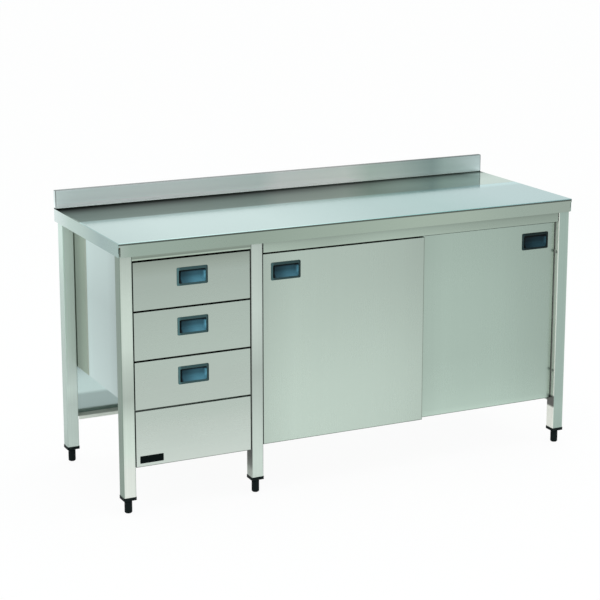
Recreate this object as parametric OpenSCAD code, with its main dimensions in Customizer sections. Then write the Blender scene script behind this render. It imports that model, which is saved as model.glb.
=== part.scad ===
// Stainless steel work table with a drawer column and a cupboard behind two sliding doors.
// Millimetres, +Z up, -Y towards the user. The origin lies on the floor under the middle of the worktop.

/* [Worktop] */
// Length of the worktop along X
top_length = 1600; // [1500:10:2000]
// Depth of the worktop along Y
top_depth = 600; // [590:5:800]
// Height of the working surface above the floor
top_height = 850; // [840:5:950]
// Height of the folded edge
fascia_height = 43; // [36:1:60]
// Thickness of the worktop sheet
top_sheet = 1.5; // [1:0.1:2]
// Outer radius of the worktop's bends
top_bend = 2.5; // [2.1:0.1:5]
// Height of the doubled hem inside the folded edge
hem_height = 12; // [8:1:14]
// How far the open slit at each front corner reaches along the front edge, past the doubled sheet
slit_width = 3; // [0.5:0.5:4]
// How far the slit reaches along the side edge, past the doubled sheet
slit_depth = 1.5; // [0.5:0.5:4]
// Height of the slit
slit_height = 31; // [15:1:32]
// Height of the rear upstand above the working surface
upstand_height = 60; // [30:5:120]
// Thickness of the rear upstand
upstand_depth = 18; // [12:1:30]
// Radius of the cove where the worktop turns up into the upstand
cove_radius = 3; // [1:0.5:10]
// Thickness of the board glued under the sheet
board_thickness = 18; // [14:1:20]
// Play between the board and the folded edge
board_play = 0.5; // [0.2:0.1:1]
// Side of the square cut out of the board behind each slit
board_notch = 10; // [4:1:20]

/* [Legs and feet] */
// Width of the square leg tube
leg_size = 40; // [38:1:50]
// Wall of the leg tube
leg_wall = 1.5; // [1:0.1:2.5]
// Outer corner radius of the leg tube
leg_corner = 3; // [2:0.5:5]
// How far the worktop reaches past the legs at each side
side_overhang = 4; // [3.5:0.5:20]
// How far the worktop reaches past the legs at the front
front_overhang = 8; // [4:0.5:20]
// How far the worktop reaches past the legs at the back
rear_overhang = 20; // [5:1:40]
// Height of the leg tube's lower end above the floor
foot_height = 53.5; // [45:0.5:80]
// Thickness of the insert's flange under the tube
insert_flange = 9.5; // [3:0.5:10]
// How far the insert's flange stands out past the tube
insert_rim = 1; // [0:0.5:2]
// How far the insert reaches up into the tube
insert_depth = 30; // [20:1:50]
// Play between the insert and the tube's inner wall
insert_play = 0.1; // [0.05:0.05:0.3]
// Diameter of the foot
foot_diameter = 24; // [16:1:34]
// Chamfer round the foot's lower rim
foot_chamfer = 3; // [1:0.5:5]
// Diameter of the foot's spindle
spindle_diameter = 10; // [6:1:12]
// How far the spindle reaches up past the foot
spindle_reach = 28; // [15:1:40]
// Radial clearance of the spindle in the insert
spindle_clearance = 0.05; // [0.02:0.01:0.1]
// Gap between the foot's top and the insert
foot_gap = 0.3; // [0.2:0.1:1]

/* [Frame] */
// Height of the frame rails under the worktop
rail_height = 20; // [15:1:21]
// Width of the frame rails
rail_width = 30; // [20:1:34]
// Wall of the rails
rail_wall = 1.5; // [1:0.1:2.5]
// How far the rail over the drawers shows below the worktop's edge
drawer_rail_drop = 16; // [10:0.5:40]
// Depth of the rail over the drawers
drawer_rail_depth = 25; // [15:1:40]
// How far the rail over the doors shows below the worktop's edge
door_rail_drop = 32; // [27:0.5:45]
// Corner radius at the lower right end of the rail over the doors
door_rail_corner = 5; // [1:0.5:10]
// Gap between the face of the rail over the doors and the leg at each end
door_rail_gap = 3; // [0.5:0.5:5]
// Width of the clear bay between the left and the middle legs
bay_width = 387; // [330:1:480]
// Thickness of the panels, pans and drawer sheets
sheet = 1; // [0.8:0.1:1.5]
// Bend radius on the edges of the fronts and doors
front_bend = 1.6; // [1.6:0.1:2.5]
// How far fronts and doors lie behind the face of the legs
front_inset = 1; // [0:0.5:4]
// Height of the lower edge of the blind panel, the partition and the back panels
panel_bottom = 146; // [120:1:150]
// Play between the side panels and the rail in front of them
panel_play = 1; // [0.5:0.1:3]
// Width of the panels' folded edges
panel_flange = 20; // [12:1:22]
// Width of the fold along the lower edge of the back panels
back_foot = 38; // [20:1:45]
// Play between that fold, with its hanging lip, and the cupboard floor above it
back_play = 0.5; // [0.3:0.1:2]
// How far the back panels lie in front of the rear face of the legs
back_inset = 5; // [2:0.5:8]

/* [Drawers] */
// Number of drawers
drawer_count = 3; // [1:1:3]
// Height of a drawer front
front_height = 149.5; // [146:0.5:155]
// Gap above and below a front
front_gap = 5; // [2:0.5:7]
// Gap between a front and the legs beside it
front_side_gap = 2.5; // [1.5:0.5:4]
// Thickness of the drawer fronts, the blind panel and the doors
front_thickness = 16; // [15.5:0.1:17]
// Width of the folded lips at the back of a front
front_lip = 22; // [17:1:30]
// Height of a drawer box
box_height = 110; // [90:1:115]
// Depth of a drawer box
box_depth = 500; // [450:5:505]
// Height of the box's floor above the lower edge of its front
box_lift = 20; // [15:1:25]
// Height of the doubled rim on the box
box_rim = 10; // [5:1:20]
// Room between the box and the side panel for the runner
runner_space = 12.7; // [11:0.1:14]
// Height of the runner's outer member
runner_height = 45; // [38:1:48]
// Length of the runner's members
runner_length = 495; // [440:5:500]
// Sheet thickness of the runner's members
runner_sheet = 1.2; // [1:0.1:1.5]
// Running gap between the runner's members
runner_gap = 0.4; // [0.3:0.1:0.8]
// Height of the runner's middle above the box's floor
runner_lift = 36; // [30:1:45]

/* [Cup handles] */
// Width of the handle's rim
handle_width = 101; // [90:1:120]
// Height of the handle's rim
handle_height = 56.5; // [50:0.5:70]
// How far the rim stands proud of the sheet
handle_proud = 1.8; // [1:0.1:2.4]
// Width of the rim's border round the recess
handle_border = 6.5; // [5:0.5:9]
// Corner radius of the rim
handle_corner = 4; // [2:0.5:8]
// Depth of the recess behind the sheet
handle_depth = 12; // [9:0.5:12.5]
// How far the recess's side walls slope in
handle_slope = 12; // [3:0.5:14]
// Wall of the handle's cup
handle_wall = 1.2; // [0.8:0.1:1.6]
// Height of the upper lip that the fingers pull on
handle_lip = 2.5; // [1:0.5:5]
// Distance from a front's upper edge to the handle's rim
handle_drop = 29; // [20:1:40]
// Distance from a door's closing edge to the handle's rim
handle_edge = 27; // [15:1:60]

/* [Doors] */
// Gap between the rail and the door under it
door_top_gap = 5; // [2:0.5:7]
// Height of the lower edge of the doors above the floor
door_bottom = 158; // [150:1:175]
// Gap between a closed door and the leg beside it
door_side_gap = 1.5; // [1.3:0.1:3]
// How far the two closed doors overlap
door_overlap = 60; // [56:1:120]
// Running gap between the two doors
door_gap = 4; // [3:0.5:5]
// Width of the folded lips at the back of a door
door_lip = 15; // [8:1:20]
// Play round a door's back sheet
door_back_play = 2; // [1:0.5:4]
// Distance from a door's edge to the end of the guide's slot
slot_inset = 5; // [3:0.5:20]
// Thickness of the track's walls
track_wall = 1.6; // [1.2:0.1:2]
// Thickness of the track's running lips
track_lip = 2; // [1.5:0.1:3]
// Width of the slot between the running lips
track_slot = 6; // [5:0.5:8]
// Height of the running lips above the door's upper edge
track_lift = 21; // [18:1:23]
// Play between the track's ends and the legs
track_play = 3.5; // [0.5:0.5:5]
// Diameter of a roller
roller_diameter = 18; // [14:1:20]
// Width of a roller
roller_width = 5; // [3:0.5:6]
// Gap between a roller and its running lip, and beside it
roller_gap = 0.2; // [0.1:0.1:0.5]
// Diameter of the roller's axle
axle_diameter = 4; // [3:0.5:5]
// How much wider than the axle its head is
axle_head = 3; // [2:0.5:4]
// Radial clearance of a roller on its axle
axle_clearance = 0.05; // [0.02:0.01:0.1]
// Thickness of the hanger plate
hanger_plate = 2; // [1.5:0.1:3]
// Width of the hanger along the door
hanger_width = 36; // [24:1:60]
// Distance from a door's edge to the middle of a hanger
hanger_inset = 70; // [40:1:120]
// Length of the guide at the doors' lower edge
guide_length = 40; // [20:1:50]
// Thickness of the guide's sheet
guide_sheet = 2; // [1.5:0.1:2.5]
// Height of the guide's fins above its base
guide_fin = 10; // [6:1:12]
// Gap between the guide's base and the doors
guide_gap = 0.5; // [0.3:0.1:1]
// Play beside a guide fin in the door's slot
guide_play = 1; // [0.5:0.1:1.5]
// Diameter of a rubber buffer
buffer_diameter = 10; // [6:1:14]
// Distance from a door's upper and lower edges to its buffers
buffer_inset = 100; // [40:5:200]
// Gap between a closed door and its buffer
buffer_gap = 0.3; // [0.2:0.1:0.6]

/* [Inside the cupboard] */
// Height of the cupboard floor's upper face
floor_top = 176; // [174:1:185]
// Sheet thickness of the cupboard floor and the shelf
shelf_sheet = 1.2; // [1:0.1:2]
// Height of the middle shelf's upper face
shelf_top = 475; // [350:5:600]
// Depth of the middle shelf
shelf_depth = 470; // [300:5:490]
// Height of the shelf's folded edges
shelf_edge = 25; // [15:1:35]
// Width of the return under the folded edges
shelf_return = 12; // [6:1:20]
// Gap between the cupboard floor and the side panel's flange in front of it
floor_play = 1; // [0.5:0.5:5]
// Play between a shelf and the panels beside it
shelf_play = 0.5; // [0.3:0.1:2]
// Leg of the angle that carries the shelf
bracket_size = 20; // [12:1:30]
// Distance from the shelf's front edge to the angle
bracket_inset = 20; // [10:1:60]
// Distance from the rear leg to the angle
bracket_play = 5; // [2:1:20]
// Thickness of the angle that carries the shelf
bracket_sheet = 2; // [1.5:0.1:3]

/* [Small parts] */
// Length of the bare plate on the blind panel
plate_length = 76; // [40:1:100]
// Height of the bare plate
plate_height = 23; // [10:1:30]
// Thickness of the bare plate
plate_thickness = 1; // [0.5:0.1:2]
// Distance from the blind panel's left edge to the plate
plate_inset = 12.5; // [5:0.5:40]
// Distance from the blind panel's lower edge to the plate
plate_lift = 11.5; // [5:0.5:40]
// Shank diameter of the fixing screws
screw_diameter = 3.5; // [3:0.5:4]
// Head diameter of the fixing screws
screw_head = 7; // [6:0.5:8]
// Head height of the fixing screws
screw_head_height = 2; // [1.5:0.1:2.5]
// Length of the fixing screws under the head
screw_length = 12; // [8:1:14]
// Clearance round a screw in its hole
screw_clearance = 0.1; // [0.05:0.05:0.3]

/* [Hidden] */
DRAWERS = ["upper", "middle", "lower"];
$fn = 48;
// Overlap that keeps a cut from ending on a face
eps = 0.1;

// Outline of the worktop and its heights
half_length = top_length / 2;
half_depth = top_depth / 2;
edge_bottom = top_height - fascia_height;
board_top = top_height - top_sheet;
frame_top = board_top - board_thickness;
upstand_top = top_height + upstand_height;
upstand_front = half_depth - upstand_depth;

// Places of the legs: the face nearest -X, and the face nearest -Y
leg_x = [
    -half_length + side_overhang,
    -half_length + side_overhang + leg_size + bay_width,
    half_length - side_overhang - leg_size
];
leg_front = -half_depth + front_overhang;
leg_rear = half_depth - rear_overhang - leg_size;
leg_y = [leg_front, leg_rear];
leg_back_face = leg_front + leg_size;
bay_left = leg_x[0] + leg_size;
bay_right = leg_x[1];
cup_left = leg_x[1] + leg_size;
cup_right = leg_x[2];

// Planes of the fronts and of the two doors
face_y = leg_front + front_inset;
front_back = face_y + front_thickness;
door_pitch = front_thickness + door_gap;
left_door_y = face_y;
right_door_y = face_y + door_pitch;
back_y = half_depth - rear_overhang - back_inset;
panel_front = face_y + max(front_thickness, drawer_rail_depth) + panel_play;

// Heights of the rails and fronts
drawer_rail_bottom = edge_bottom - drawer_rail_drop;
door_rail_bottom = edge_bottom - door_rail_drop;
front_pitch = front_height + front_gap;
function front_top(i) = drawer_rail_bottom - front_gap - i * front_pitch;
column_bottom = front_top(drawer_count) + front_gap;
front_left = bay_left + front_side_gap;
front_right = bay_right - front_side_gap;
front_middle = (bay_left + bay_right) / 2;

// Drawer boxes and runners
box_left = bay_left + sheet + runner_space;
box_right = bay_right - sheet - runner_space;
function box_bottom(i) = front_top(i) - front_height + box_lift;
runner_front = front_back + 1;
mid_height = runner_height - 2 * (runner_sheet + runner_gap);
inner_height = mid_height - 2 * (runner_sheet + runner_gap);

// Doors and their hanging gear
door_top = door_rail_bottom - door_top_gap;
door_width = (cup_right - cup_left - 2 * door_side_gap + door_overlap) / 2;
left_door_x = cup_left + door_side_gap;
right_door_x = cup_right - door_side_gap - door_width;
apron_back = leg_front + front_inset + rail_wall;
track_width = door_pitch;
track_bottom = door_top + track_lift - track_lip;
track_top = frame_top - rail_wall;
lip_top = track_bottom + track_lip;
axle_z = lip_top + roller_gap + roller_diameter / 2;
hanger_top = axle_z + roller_diameter / 2 - 1;
roller_pitch = hanger_plate / 2 + roller_gap + roller_width / 2;
function track_y(k) = apron_back + track_width * (k + 0.5);
guide_top = door_bottom - guide_gap;
guide_x = (left_door_x + door_width + right_door_x) / 2;
guide_slot = guide_sheet + 2 * guide_play;

// Inside of the cupboard
inside_left = bay_right;
inside_right = cup_right - sheet;
floor_front = leg_back_face + sheet + floor_play;
floor_edge = floor_top - guide_top;
shelf_rear = back_y - shelf_play;
shelf_front = shelf_rear - shelf_depth;
bracket_top = shelf_top - shelf_edge;
screw_x = [for (i = [0:3]) cup_left + (cup_right - cup_left) * (i + 0.5) / 4];
guide_screw_y = floor_front + shelf_sheet + shelf_return / 2;

// Colours as they look in plain light
steel = [0.72, 0.76, 0.73];
bright_steel = [0.80, 0.84, 0.83];
dark_plastic = [0.12, 0.13, 0.13];
blue_plastic = [0.24, 0.38, 0.45];
zinc = [0.66, 0.68, 0.70];

// Block between two corners, given as a range along each axis
module block(x, y, z) {
    translate([x[0], y[0], z[0]]) cube([x[1] - x[0], y[1] - y[0], z[1] - z[0]]);
}

// Rectangle with a radius at each corner: lower left, lower right, upper right, upper left
module round_rect(w, h, r) {
    difference() {
        square([w, h]);
        for (c = [[0, 0, r[0]], [1, 0, r[1]], [1, 1, r[2]], [0, 1, r[3]]])
            if (c[2] > 0)
                translate([c[0] * w, c[1] * h]) mirror([c[0], 0]) mirror([0, c[1]])
                    difference() {
                        translate([-eps, -eps]) square(c[2] + eps);
                        translate([c[2], c[2]]) circle(c[2]);
                    }
    }
}

// Extrudes an outline drawn in Y and Z along X
module along_x(x) {
    translate([x[0], 0, 0]) rotate([90, 0, 90]) linear_extrude(x[1] - x[0]) children();
}

// Extrudes an outline drawn in X and Z along Y
module along_y(y) {
    translate([0, y[1], 0]) rotate([90, 0, 0]) linear_extrude(y[1] - y[0]) children();
}

// Extrudes an outline drawn in X and Y along Z
module along_z(z) {
    translate([0, 0, z[0]]) linear_extrude(z[1] - z[0]) children();
}

// Block whose edges round its front face have a bend radius
module faced_block(x, y, z, r) {
    intersection() {
        along_z(z) translate([x[0], y[0]]) round_rect(x[1] - x[0], y[1] - y[0], [r, r, 0, 0]);
        along_x(x) translate([y[0], z[0]]) round_rect(y[1] - y[0], z[1] - z[0], [r, 0, 0, r]);
    }
}

// Sheet pan: face towards -Y, folded walls, and lips that leave the back open
module pan(x, y, z, lip) {
    difference() {
        faced_block(x, y, z, front_bend);
        block([x[0] + sheet, x[1] - sheet], [y[0] + sheet, y[1] - sheet], [z[0] + sheet, z[1] - sheet]);
        block([x[0] + lip, x[1] - lip], [y[1] - 2 * sheet, y[1] + eps], [z[0] + lip, z[1] - lip]);
    }
}

// Rectangular tube outline with its lower left corner at the origin
module tube_outline(w, h, wall, r) {
    difference() {
        round_rect(w, h, [r, r, r, r]);
        translate([wall, wall]) {
            inner = max(r - wall, 0.5);
            round_rect(w - 2 * wall, h - 2 * wall, [inner, inner, inner, inner]);
        }
    }
}

// Worktop: one folded sheet with a hemmed edge all round and a hollow upstand at the back
module worktop() {
    color(bright_steel)
    difference() {
        union() {
            difference() {
                union() {
                    worktop_slab();
                    along_x([-half_length, half_length])
                        translate([upstand_front, edge_bottom])
                            round_rect(upstand_depth, upstand_top - edge_bottom, [0, 0, top_bend, top_bend]);
                    cove();
                }
                block([-half_length + top_sheet, half_length - top_sheet],
                      [-half_depth + top_sheet, half_depth - top_sheet], [edge_bottom - eps, board_top]);
                block([-half_length + top_sheet, half_length - top_sheet],
                      [upstand_front + top_sheet, half_depth - top_sheet],
                      [board_top - eps, upstand_top - top_sheet]);
            }
            hem();
        }
        for (s = [0, 1]) mirror([s, 0, 0]) corner_slit();
    }
}

// Solid outline of the worktop without its upstand
module worktop_slab() {
    intersection() {
        along_x([-half_length, half_length])
            translate([-half_depth, edge_bottom])
                round_rect(top_depth, fascia_height, [0, 0, 0, top_bend]);
        along_y([-half_depth, half_depth])
            translate([-half_length, edge_bottom])
                round_rect(top_length, fascia_height, [0, 0, top_bend, top_bend]);
        along_z([edge_bottom, top_height])
            translate([-half_length, -half_depth])
                round_rect(top_length, top_depth, [top_bend, top_bend, 0, 0]);
    }
}

// Concave bend between the working surface and the upstand
module cove() {
    along_x([-half_length + top_bend, half_length - top_bend])
        translate([upstand_front - cove_radius, top_height])
            difference() {
                translate([0, -eps]) square([cove_radius + eps, cove_radius + eps]);
                translate([0, cove_radius]) circle(cove_radius);
            }
}

// Second layer of sheet inside the lower edge
module hem() {
    z = [edge_bottom, edge_bottom + hem_height];
    x = half_length - top_sheet;
    y = half_depth - top_sheet;
    for (s = [-1, 1]) {
        block([s > 0 ? x - top_sheet : -x, s > 0 ? x : -x + top_sheet], [-y, y], z);
        block([-x, x], [s > 0 ? y - top_sheet : -y, s > 0 ? y : -y + top_sheet], z);
    }
}

// Open slit at the left front corner, where the front edge and the side edge end
module corner_slit() {
    block([-half_length - eps, -half_length + 2 * top_sheet + slit_width],
          [-half_depth - eps, -half_depth + 2 * top_sheet + slit_depth],
          [edge_bottom - eps, edge_bottom + slit_height]);
}

// Board glued under the sheet
module core_board() {
    x = half_length - top_sheet - board_play;
    y = half_depth - top_sheet - board_play;
    color("burlywood")
    difference() {
        block([-x, x], [-y, y], [frame_top, board_top]);
        for (s = [0, 1]) mirror([s, 0, 0])
            block([-x - eps, -x + board_notch], [-y - eps, -y + board_notch], [frame_top - eps, board_top + eps]);
        track_screw_holes();
    }
}

// Square leg tube: i counts along X, j is 0 at the front and 1 at the back
module leg(i, j) {
    color(steel)
    along_z([foot_height, frame_top])
        translate([leg_x[i], leg_y[j]])
            tube_outline(leg_size, leg_size, leg_wall, leg_corner);
}

// Plastic inserts that close the tubes and take the spindles
module foot_inserts() {
    plug = leg_size - 2 * leg_wall - 2 * insert_play;
    flange = leg_size + 2 * insert_rim;
    r = max(leg_corner - leg_wall, 0.5);
    color(dark_plastic)
    for (i = [0:2], j = [0:1])
        translate([leg_x[i] + leg_size / 2, leg_y[j] + leg_size / 2, 0])
            difference() {
                union() {
                    along_z([foot_height - insert_flange, foot_height])
                        translate([-flange / 2, -flange / 2])
                            round_rect(flange, flange, [leg_corner, leg_corner, leg_corner, leg_corner]);
                    along_z([foot_height, foot_height + insert_depth])
                        translate([-plug / 2, -plug / 2]) round_rect(plug, plug, [r, r, r, r]);
                }
                translate([0, 0, foot_height - insert_flange - eps])
                    cylinder(d = spindle_diameter + 2 * spindle_clearance,
                             h = insert_flange + insert_depth + 2 * eps);
            }
}

// Foot with its spindle
module foot(i, j) {
    top = foot_height - insert_flange - foot_gap;
    r = foot_diameter / 2;
    color(dark_plastic)
    translate([leg_x[i] + leg_size / 2, leg_y[j] + leg_size / 2, 0])
        rotate_extrude()
            polygon([
                [0, 0], [r - foot_chamfer, 0], [r, foot_chamfer], [r, top],
                [spindle_diameter / 2, top], [spindle_diameter / 2, top + spindle_reach],
                [0, top + spindle_reach]
            ]);
}

// Tubes that join the legs under the worktop
module frame_rails() {
    inset = (leg_size - rail_width) / 2;
    bottom = frame_top - rail_height;
    color(steel) {
        for (i = [0:2])
            along_y([leg_back_face, leg_rear])
                translate([leg_x[i] + inset, bottom])
                    tube_outline(rail_width, rail_height, rail_wall, 2);
        for (x = [[bay_left, bay_right], [cup_left, cup_right]])
            along_x(x)
                translate([leg_rear + inset, bottom])
                    tube_outline(rail_width, rail_height, rail_wall, 2);
    }
}

// Rail over the drawers
module drawer_rail() {
    color(steel)
    along_x([bay_left, bay_right])
        translate([face_y, drawer_rail_bottom])
            tube_outline(drawer_rail_depth, frame_top - drawer_rail_bottom, rail_wall, 2);
}

// Folded rail over the doors: a face, a web under the board and a back flange
module door_rail() {
    web_back = apron_back + 2 * track_width + rail_wall;
    color(steel)
    difference() {
        union() {
            along_y([face_y, apron_back])
                translate([cup_left + door_rail_gap, door_rail_bottom])
                    round_rect(cup_right - cup_left - 2 * door_rail_gap, frame_top - door_rail_bottom,
                               [0, door_rail_corner, 0, 0]);
            block([cup_left, cup_right], [face_y, web_back], [track_top, frame_top]);
            block([cup_left, cup_right], [web_back - rail_wall, web_back],
                  [edge_bottom + rail_wall, frame_top]);
        }
        track_screw_holes();
    }
}

// Double track: two channels whose lips carry the rollers
module door_track() {
    x = [cup_left + track_play, inside_right - track_play];
    color("lightgray")
    difference() {
        block(x, [apron_back, apron_back + 2 * track_width], [track_bottom, track_top]);
        for (k = [0:1]) {
            half = (track_width - track_wall) / 2;
            block([x[0] - eps, x[1] + eps], [track_y(k) - half, track_y(k) + half],
                  [lip_top, track_top - track_wall]);
            block([x[0] - eps, x[1] + eps],
                  [track_y(k) - track_slot / 2, track_y(k) + track_slot / 2],
                  [track_bottom - eps, lip_top + eps]);
        }
        track_screw_holes();
    }
}

// Holes for the screws that hold the track up against the rail and the board
module track_screw_holes() {
    for (x = screw_x, k = [0:1])
        translate([x, track_y(k), track_top - track_wall - eps])
            cylinder(d = screw_diameter + 2 * screw_clearance, h = screw_length + 2 * eps);
}

// Screws of the track and of the door guide
module fixing_screws() {
    color(zinc) {
        for (x = screw_x, k = [0:1]) translate([x, track_y(k), track_top - track_wall]) screw();
        for (s = [-1, 1])
            translate([guide_x + s * guide_length / 4, guide_screw_y, guide_top - guide_sheet])
                screw(guide_sheet + shelf_sheet + 2);
    }
}

// Screw that points up, with its head below the origin
module screw(reach = screw_length) {
    translate([0, 0, -screw_head_height]) cylinder(d = screw_head, h = screw_head_height);
    cylinder(d = screw_diameter, h = reach);
}

// Outer side panel of the drawer column, held on the inner faces of the left legs
module left_side_panel() {
    x = bay_left;
    color(bright_steel) {
        block([x, x + sheet], [panel_front, leg_rear + leg_size], [column_bottom, edge_bottom]);
        block([x, x + panel_flange / 2], [panel_front, back_y - panel_play],
              [column_bottom, column_bottom + sheet]);
    }
}

// Partition between the drawers and the cupboard, held on the middle legs
module middle_partition() {
    x = bay_right;
    color(steel)
    block([x - sheet, x], [panel_front, leg_rear + leg_size], [panel_bottom, edge_bottom]);
}

// Outer side panel of the cupboard, with a flange on the back of the front leg
module right_side_panel() {
    x = cup_right;
    color(steel) {
        block([x - sheet, x], [leg_back_face, leg_rear + leg_size], [panel_bottom, edge_bottom]);
        block([x - sheet, x + panel_flange], [leg_back_face, leg_back_face + sheet],
              [panel_bottom, edge_bottom]);
    }
}

// Back panel, folded forward along its lower edge, with a lip that hangs from the fold
module back_panel(x) {
    foot_y = back_y - back_foot;
    fold_z = guide_top - back_play - sheet;
    color(steel)
    along_x(x) {
        translate([back_y, fold_z]) square([sheet, edge_bottom - fold_z]);
        translate([foot_y, fold_z]) square([back_foot + sheet, sheet]);
        translate([foot_y, panel_bottom]) square([sheet, fold_z + sheet - panel_bottom]);
    }
}

// Back panel behind the drawers
module drawer_bay_back() {
    back_panel([bay_left + sheet, bay_right - sheet]);
}

// Back panel of the cupboard
module cupboard_back() {
    back_panel([cup_left, cup_right - sheet]);
}

// Fixed panel under the drawers, with tabs that meet the legs behind the gap
module blind_panel() {
    z = [panel_bottom, column_bottom - front_gap];
    color(steel) {
        pan([front_left, front_right], [face_y, front_back], z, front_lip);
        block([bay_left, front_left + front_lip], [front_back, front_back + sheet], z);
        block([front_right - front_lip, bay_right], [front_back, front_back + sheet], z);
    }
}

// Bare plate at the lower left of the blind panel
module nameplate() {
    x = front_left + plate_inset;
    z = panel_bottom + plate_lift;
    color([0.05, 0.05, 0.05])
    along_y([face_y - plate_thickness, face_y])
        translate([x, z]) round_rect(plate_length, plate_height, [1, 1, 1, 1]);
}

// Channel outline of a runner member: web from u, flanges that reach to u2
module runner_channel(u, u2, height) {
    translate([u, -height / 2]) square([runner_sheet, height]);
    for (v = [-height / 2, height / 2 - runner_sheet])
        translate([u, v]) square([u2 - u, runner_sheet]);
}

// Places a runner outline at the left and, mirrored, at the right of drawer i
module runner_pair(i) {
    z = box_bottom(i) + runner_lift;
    for (s = [0, 1])
        translate([front_middle, 0, z]) mirror([s, 0, 0])
            translate([bay_left + sheet - front_middle, 0, 0])
                along_y([runner_front, runner_front + runner_length]) children();
}

// Outer runner members, held on the panels
module cabinet_runners() {
    color(zinc)
    for (i = [0:drawer_count - 1])
        runner_pair(i) runner_channel(0, runner_space - runner_sheet - runner_gap, runner_height);
}

// Middle runner members of drawer i
module mid_runners(i) {
    color(zinc)
    runner_pair(i)
        runner_channel(runner_sheet + runner_gap, runner_space - runner_sheet - runner_gap, mid_height);
}

// Inner runner members, held on the box of drawer i
module inner_runners(i) {
    color(zinc)
    runner_pair(i)
        translate([runner_space, 0]) mirror([1, 0])
            runner_channel(0, runner_space - 2 * (runner_sheet + runner_gap), inner_height);
}

// Folded front of drawer i
module drawer_front(i) {
    z = [front_top(i) - front_height, front_top(i)];
    color(steel)
    difference() {
        pan([front_left, front_right], [face_y, front_back], z, front_lip);
        handle_hole(front_middle - handle_width / 2, face_y, front_top(i));
    }
}

// Open box of drawer i with a doubled rim
module drawer_box(i) {
    x = [box_left, box_right];
    y = [front_back, front_back + box_depth];
    z = [box_bottom(i), box_bottom(i) + box_height];
    color(steel)
    difference() {
        block(x, y, z);
        block([x[0] + sheet, x[1] - sheet], [y[0] + sheet, y[1] - sheet], [z[0] + sheet, z[1] - box_rim]);
        block([x[0] + 2 * sheet, x[1] - 2 * sheet], [y[0] + 2 * sheet, y[1] - 2 * sheet],
              [z[1] - box_rim - eps, z[1] + eps]);
    }
}

// Hole in a front for the cup of a handle whose rim starts at x under the upper edge top
module handle_hole(x, y, top) {
    m = handle_border - handle_wall - 0.5;
    block([x + m, x + handle_width - m], [y - eps, y + sheet + eps],
          [top - handle_drop - handle_height + m, top - handle_drop - m]);
}

// Cup handle: rim, sloping recess and an upper lip for the fingers
module cup_handle(x, y, top) {
    c = handle_corner;
    b = handle_border;
    color(blue_plastic)
    translate([x, y, top - handle_drop - handle_height])
        difference() {
            union() {
                along_y([-handle_proud, 0]) round_rect(handle_width, handle_height, [c, c, c, c]);
                cup_form([b - handle_wall, handle_width - b + handle_wall],
                         [b - handle_wall, handle_height - b + handle_wall],
                         -handle_proud, handle_depth + handle_wall);
            }
            difference() {
                cup_form([b, handle_width - b], [b, handle_height - b], -handle_proud - eps, handle_depth);
                block([0, handle_width], [-handle_proud - eps, handle_wall],
                      [handle_height - b - handle_lip, handle_height]);
            }
        }
}

// Form of a recess that narrows towards its floor on three sides; its upper wall is square
module cup_form(x, z, front, depth) {
    s = handle_slope;
    intersection() {
        along_z(z)
            polygon([[x[0], front], [x[0], 0], [x[0] + s, depth], [x[1] - s, depth], [x[1], 0], [x[1], front]]);
        along_x(x)
            polygon([[front, z[0]], [0, z[0]], [depth, z[0] + s], [depth, z[1]], [front, z[1]]]);
    }
}

// Folded shell of a door with a slot for the guide along its lower wall
module door_shell(x, y, handle_x) {
    yg = y + front_thickness / 2;
    color(steel)
    difference() {
        pan([x, x + door_width], [y, y + front_thickness], [door_bottom, door_top], door_lip);
        handle_hole(handle_x, y, door_top);
        block([x + slot_inset, x + door_width - slot_inset], [yg - guide_slot / 2, yg + guide_slot / 2],
              [door_bottom - eps, door_bottom + sheet + eps]);
    }
}

// Sheet behind the lips that closes a door's back
module door_back(x, y) {
    play = sheet + door_back_play;
    color(bright_steel)
    block([x + play, x + door_width - play],
          [y + front_thickness - 2 * sheet, y + front_thickness - sheet],
          [door_bottom + guide_fin + play, door_top - play]);
}

// Middle of hanger k of a door that starts at x
function hanger_x(x, k) = k == 0 ? x + hanger_inset : x + door_width - hanger_inset;

// Hanger plates with their feet and roller axles; t is the number of the track
module door_hangers(x, t) {
    head = hanger_plate / 2 + 2 * roller_gap + roller_width;
    color(zinc)
    for (k = [0:1]) {
        xm = hanger_x(x, k);
        ym = track_y(t);
        block([xm - hanger_width / 2, xm + hanger_width / 2],
              [ym - hanger_plate / 2, ym + hanger_plate / 2], [door_top, hanger_top]);
        block([xm - hanger_width / 2, xm + hanger_width / 2],
              [ym - front_thickness / 2 + 1, ym + hanger_plate / 2], [door_top, door_top + hanger_plate]);
        along_y([ym - head - eps, ym + head + eps]) translate([xm, axle_z]) circle(d = axle_diameter);
        for (s = [-1, 1])
            along_y([ym + s * (head + 0.5) - 0.5, ym + s * (head + 0.5) + 0.5])
                translate([xm, axle_z]) circle(d = axle_diameter + axle_head);
    }
}

// Pair of rollers on one axle
module rollers(x, t, k) {
    color([0.9, 0.9, 0.86])
    for (s = [-1, 1])
        along_y([track_y(t) + s * roller_pitch - roller_width / 2,
                 track_y(t) + s * roller_pitch + roller_width / 2])
            translate([hanger_x(x, k), axle_z])
                difference() {
                    circle(d = roller_diameter);
                    circle(d = axle_diameter + 2 * axle_clearance);
                }
}

// Guide with a fin for each door, under the cupboard floor where the doors always overlap
module door_guide() {
    x = [guide_x - guide_length / 2, guide_x + guide_length / 2];
    color("lightgray")
    difference() {
        union() {
            block(x, [left_door_y + front_thickness / 2 - guide_sheet / 2, floor_front + shelf_return],
                  [guide_top - guide_sheet, guide_top]);
            for (y = [left_door_y, right_door_y]) {
                ym = y + front_thickness / 2;
                block(x, [ym - guide_sheet / 2, ym + guide_sheet / 2], [guide_top, guide_top + guide_fin]);
            }
        }
        guide_screw_holes();
    }
}

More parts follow.
